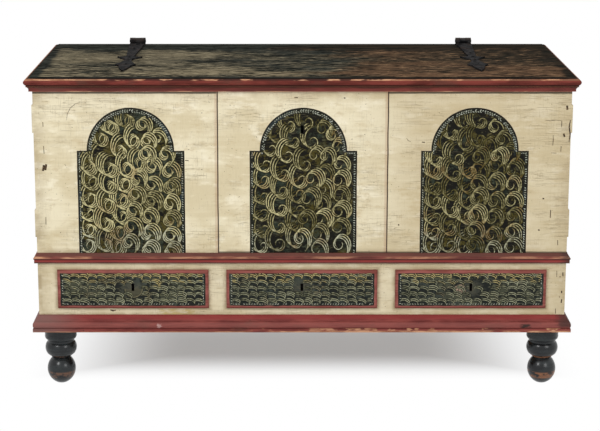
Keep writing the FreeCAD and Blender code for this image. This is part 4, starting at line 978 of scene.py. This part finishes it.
def drawer_combing(seed, middle):
    """Rows of small overlapping scales, fewer and duller where the lock's been handled."""
    strokes = Strokes(seed)
    vary, turn = strokes.vary, strokes.turn
    for row, bright in enumerate((0.80, 0.58, 0.48, 0.48, 0.60)):
        z = DRAWER_HIGH - 0.0165 - row * 0.0153
        strokes.layer = row * 2
        x = middle - DRAWER_HALF + 0.019 + vary(0.0, 0.004)
        while x < middle + DRAWER_HALF - 0.013:
            away = math.hypot((x - middle) * WEAR_SQUASH, z - KEYHOLE_Z + WEAR_DROP)
            rubbed = max(0.0, min(0.9, 1.2 - away / 0.022))
            if strokes.random.random() > rubbed:
                arc = (turn(150, 12), turn(-168, 18), vary(0.12, 0.1))
                reach = (vary(0.0120, 0.001), vary(0.0060, 0.0008), turn(-10, 8))
                comb = (turn(80, 10), vary(1.0, 0.1), 0.0)
                teeth = strokes.random.choice((2, 2, 3))
                strokes.add(x, z, arc=arc, reach=reach, drift=(0.0, 0.0, 0.0), comb=comb,
                            tone=vary(bright - rubbed * 0.3, 0.18), teeth=teeth,
                            lead=(teeth - 1) / 2, lag=0.0)
            strokes.layer = row * 2 + 1 - strokes.layer % 2
            x += vary(0.0212, 0.0012)
    return strokes.mesh()


def drawer_rope(middle):
    """Path inside a drawer's red border, down one end, along the bottom and up the other."""
    inset = 0.0125
    x = DRAWER_HALF - inset
    low, high = DRAWER_LOW + inset - 0.001, DRAWER_HIGH - inset
    return path_mesh([(middle + across, z, DRAWER_ROPE_LIFT)
                      for across, z in ((-x, high), (-x, low), (x, low), (x, high))])


def ornament():
    """The curls and rope edging of the arches, and the scales and edging of the drawers."""
    combs = comb_tree()
    ropes = rope_tree()
    curl_yellow = stroke_paint("combed_yellow", (72, 65, 26), (204, 194, 144), (192, 190, 160),
                               (138, 100, 56), WAIST_HIGH + 0.05)
    comb_sage = stroke_paint("combed_sage", (62, 64, 50), (182, 166, 114), (156, 156, 128),
                             (98, 80, 60), DRAWER_HIGH - 0.024)
    rope_pale = stroke_paint("rope_pale", (136, 138, 120), (200, 202, 186), (206, 208, 196),
                             (150, 120, 104), 0.0)
    curls = {"Tooth gap": 0.0062, "Line width": 0.0021, "Band width": 0.0056, "Steps": 44,
             "Half width": ARCH_HALF - 0.0085, "Head radius": ARCH_RADIUS - 0.0100,
             "Floor": WAIST_HIGH - 0.004, "Keyhole": (*CHEST_KEYHOLE, 0.0),
             "Keyhole room": 0.0066, "Material": curl_yellow}
    rope = {"Pitch": 0.0056, "Dash length": 0.0050, "Dash width": 0.0021, "Kept": 0.84,
            "Material": rope_pale}
    for name, arch in ARCHES.items():
        for label, inset, slant, first, last in (("outer", 0.0056, 0.75, 0, None),
                                                 ("inner", 0.0094, -0.75, 3, -3)):
            grow(f"arch_{name}_{label}_rope", ropes, arch_rope(arch["middle"], inset, first, last),
                 rope | {"Slant": slant, "Seed": arch["seed"]}, FRONT, "carcase")
        grow(f"arch_{name}_curls", combs, arch_curls(arch),
             curls | {"Panel": (arch["middle"], ARCH_SHOULDER - 0.0035, 0.0)},
             FRONT, "carcase")
    scales = {"Tooth gap": 0.0044, "Line width": 0.0017, "Band width": 0.0042, "Steps": 10,
              "Half width": DRAWER_HALF - 0.0142, "Head radius": 0.0,
              "Floor": DRAWER_LOW + 0.0130, "Keyhole room": 0.0060, "Material": comb_sage}
    rope |= {"Pitch": 0.0062, "Dash length": 0.0044, "Dash width": 0.0018, "Kept": 0.82,
             "Slant": 0.6}
    for (name, middle), seed in zip(DRAWER_MIDDLES.items(), (5, 17, 29)):
        grow(f"drawer_{name}_combing", combs, drawer_combing(seed, middle),
             scales | {"Keyhole": (middle, KEYHOLE_Z, 0.0),
                       "Panel": (middle, DRAWER_HIGH - 0.0080, 0.0)},
             LIP, f"drawer_{name}")
        grow(f"drawer_{name}_rope", ropes, drawer_rope(middle), rope | {"Seed": seed},
             LIP, f"drawer_{name}")


def marks():
    """Cracks, bruises and nail heads in the paint of the front. Long ones are pointed."""
    paths, widths = [], []
    for width, *spots in MARKS:
        path = [(x / 1000, z / 1000, MARK_LIFT) for x, z in zip(spots[::2], spots[1::2])]
        share = 0.5 if len(path) > 2 else 1.0
        widths += [width / 1000 * part for part in (share, *[1.0] * (len(path) - 2), share)]
        paths.append(path)
    mesh = path_mesh(*paths)
    mesh.attributes.new("wide", "FLOAT", "POINT").data.foreach_set("value", widths)
    grow("paint_marks", brush_tree(), mesh, {"Material": mark_paint()}, FRONT, "carcase")


def nails(iron):
    """The nails that hold the straps to the lid."""
    spots = [(x, PIN_Y - ahead, LID_TOP + STRAP_THICK)
             for x in (-HINGE_X, HINGE_X) for ahead in STRAP_NAILS]
    mesh = point_mesh(spots, {"facing": [(0, 0, 1)] * len(spots)})
    grow("strap_nails", nail_tree(), mesh,
         {"Head radius": 0.0048, "Head rise": 0.0022, "Seed": 4, "Material": iron},
         None, "lid")


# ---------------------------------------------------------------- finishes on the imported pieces

def dress():
    """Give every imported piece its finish, and return the iron for the nails."""
    iron = iron_finish()
    pine_x, pine_y, pine_z = map(pine_finish, "xyz")
    # The first rule whose words are in a piece's name gives its finish.
    rules = (
        (iron, "lock bolt staple hinge"),
        (drawer_paint(), "left_front middle_front right_front"),
        (waist_paint(), "waist_moulding"),
        (base_paint(), "base_moulding"),
        (cornice_paint(), "lid_cornice"),
        (front_paint(), "front_board"),
        (lid_paint(), "lid_board"),
        (pine_z, "foot_blocks"),
        (foot_paint(), "foot_"),
        (pine_x, "back chest_floor dust_board"),
        (pine_y, "partition guides drawer_left_ drawer_middle_ drawer_right_"),
        (case_paint(), "side stiles muntin rail"),
    )
    for name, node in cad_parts.items():
        finish = next(finish for finish, words in rules
                      if any(word in name for word in words.split()))
        node.data.materials.clear()
        node.data.materials.append(finish)
    return iron


# ---------------------------------------------------------------- studio

def studio():
    """A pale floor that goes white away from the chest, a white room and three soft lamps. The
    floor's glow is painted light over the chest's shadow towards its front, ends and back.
    """
    reach, drop = 14.0, -0.0002
    mesh = bpy.data.meshes.new("studio_floor")
    mesh.from_pydata([(-reach, -reach, drop), (reach, -reach, drop), (reach, reach, drop),
                      (-reach, reach, drop)], [], [(0, 1, 2, 3)])
    pale = Finish("pale_floor", {"Roughness": 0.9, "Base Color": (0.72, 0.76, 0.81, 1.0)})
    # Painted light: the floor glows white over the chest's shadow except under its middle.
    ends = rise(abs(pale.x), CAD_BOX[1][0] - 0.36, CAD_BOX[1][0] + 0.06)
    front = rise(-pale.y, 0.00, 0.22)
    back = rise(pale.y, 0.20, CAD_BOX[1][1] + 0.10)
    white = most(ends, front, back)
    glow = pale.node("ShaderNodeEmission", {"Color": (1, 1, 1, 1), "Strength": 1.0})
    blend = pale.node("ShaderNodeMixShader", {0: pale.seen() * (0.30 + white * 0.70),
                       1: Wire(pale, pale.shader.outputs[0]), 2: glow})
    pale.tree.links.new(blend.socket, pale.tree.nodes["Material Output"].inputs["Surface"])
    mesh.materials.append(pale.material)
    put("studio_floor", mesh)

    world = bpy.data.worlds.new("soft_room")
    world.use_nodes = True
    bpy.context.scene.world = world
    room = Tree(world.node_tree)
    backdrop = world.node_tree.nodes["Background"]
    backdrop.inputs["Color"].default_value = (1.0, 1.0, 1.0, 1.0)
    strength = room.seen() * 0.35 + 0.65
    world.node_tree.links.new(strength.socket, backdrop.inputs["Strength"])

    aim = Vector((0, 0, 0.4))
    lamps = (("key", (-2.2, -3.4, 3.0), 1.3, 72.0), ("fill", (2.6, -3.6, 2.2), 1.6, 44.0),
             ("over", (0.0, 0.4, 3.4), 2.6, 16.0))
    for name, spot, width, power in lamps:
        light = bpy.data.lights.new(name, "AREA")
        light.shape = "SQUARE"
        light.size = width
        light.energy = power
        lamp = put(name, light)
        lamp.location = spot
        lamp.rotation_euler = (aim - Vector(spot)).to_track_quat("-Z", "Y").to_euler()


def camera():
    tilt = 0.2210
    lens = bpy.data.cameras.new("viewpoint")
    lens.lens = 104.74
    lens.sensor_width = 36.0
    lens.shift_x = 0.0223
    lens.shift_y = -0.06
    eye = put("viewpoint", lens)
    eye.location = (-0.0361, -4.248, 1.4057)
    eye.rotation_euler = (math.pi / 2 - tilt, 0.0, 0.0)
    bpy.context.scene.camera = eye


camera()
studio()
iron = dress()
ornament()
marks()
nails(iron)
bpy.context.scene.view_settings.view_transform = "Standard"
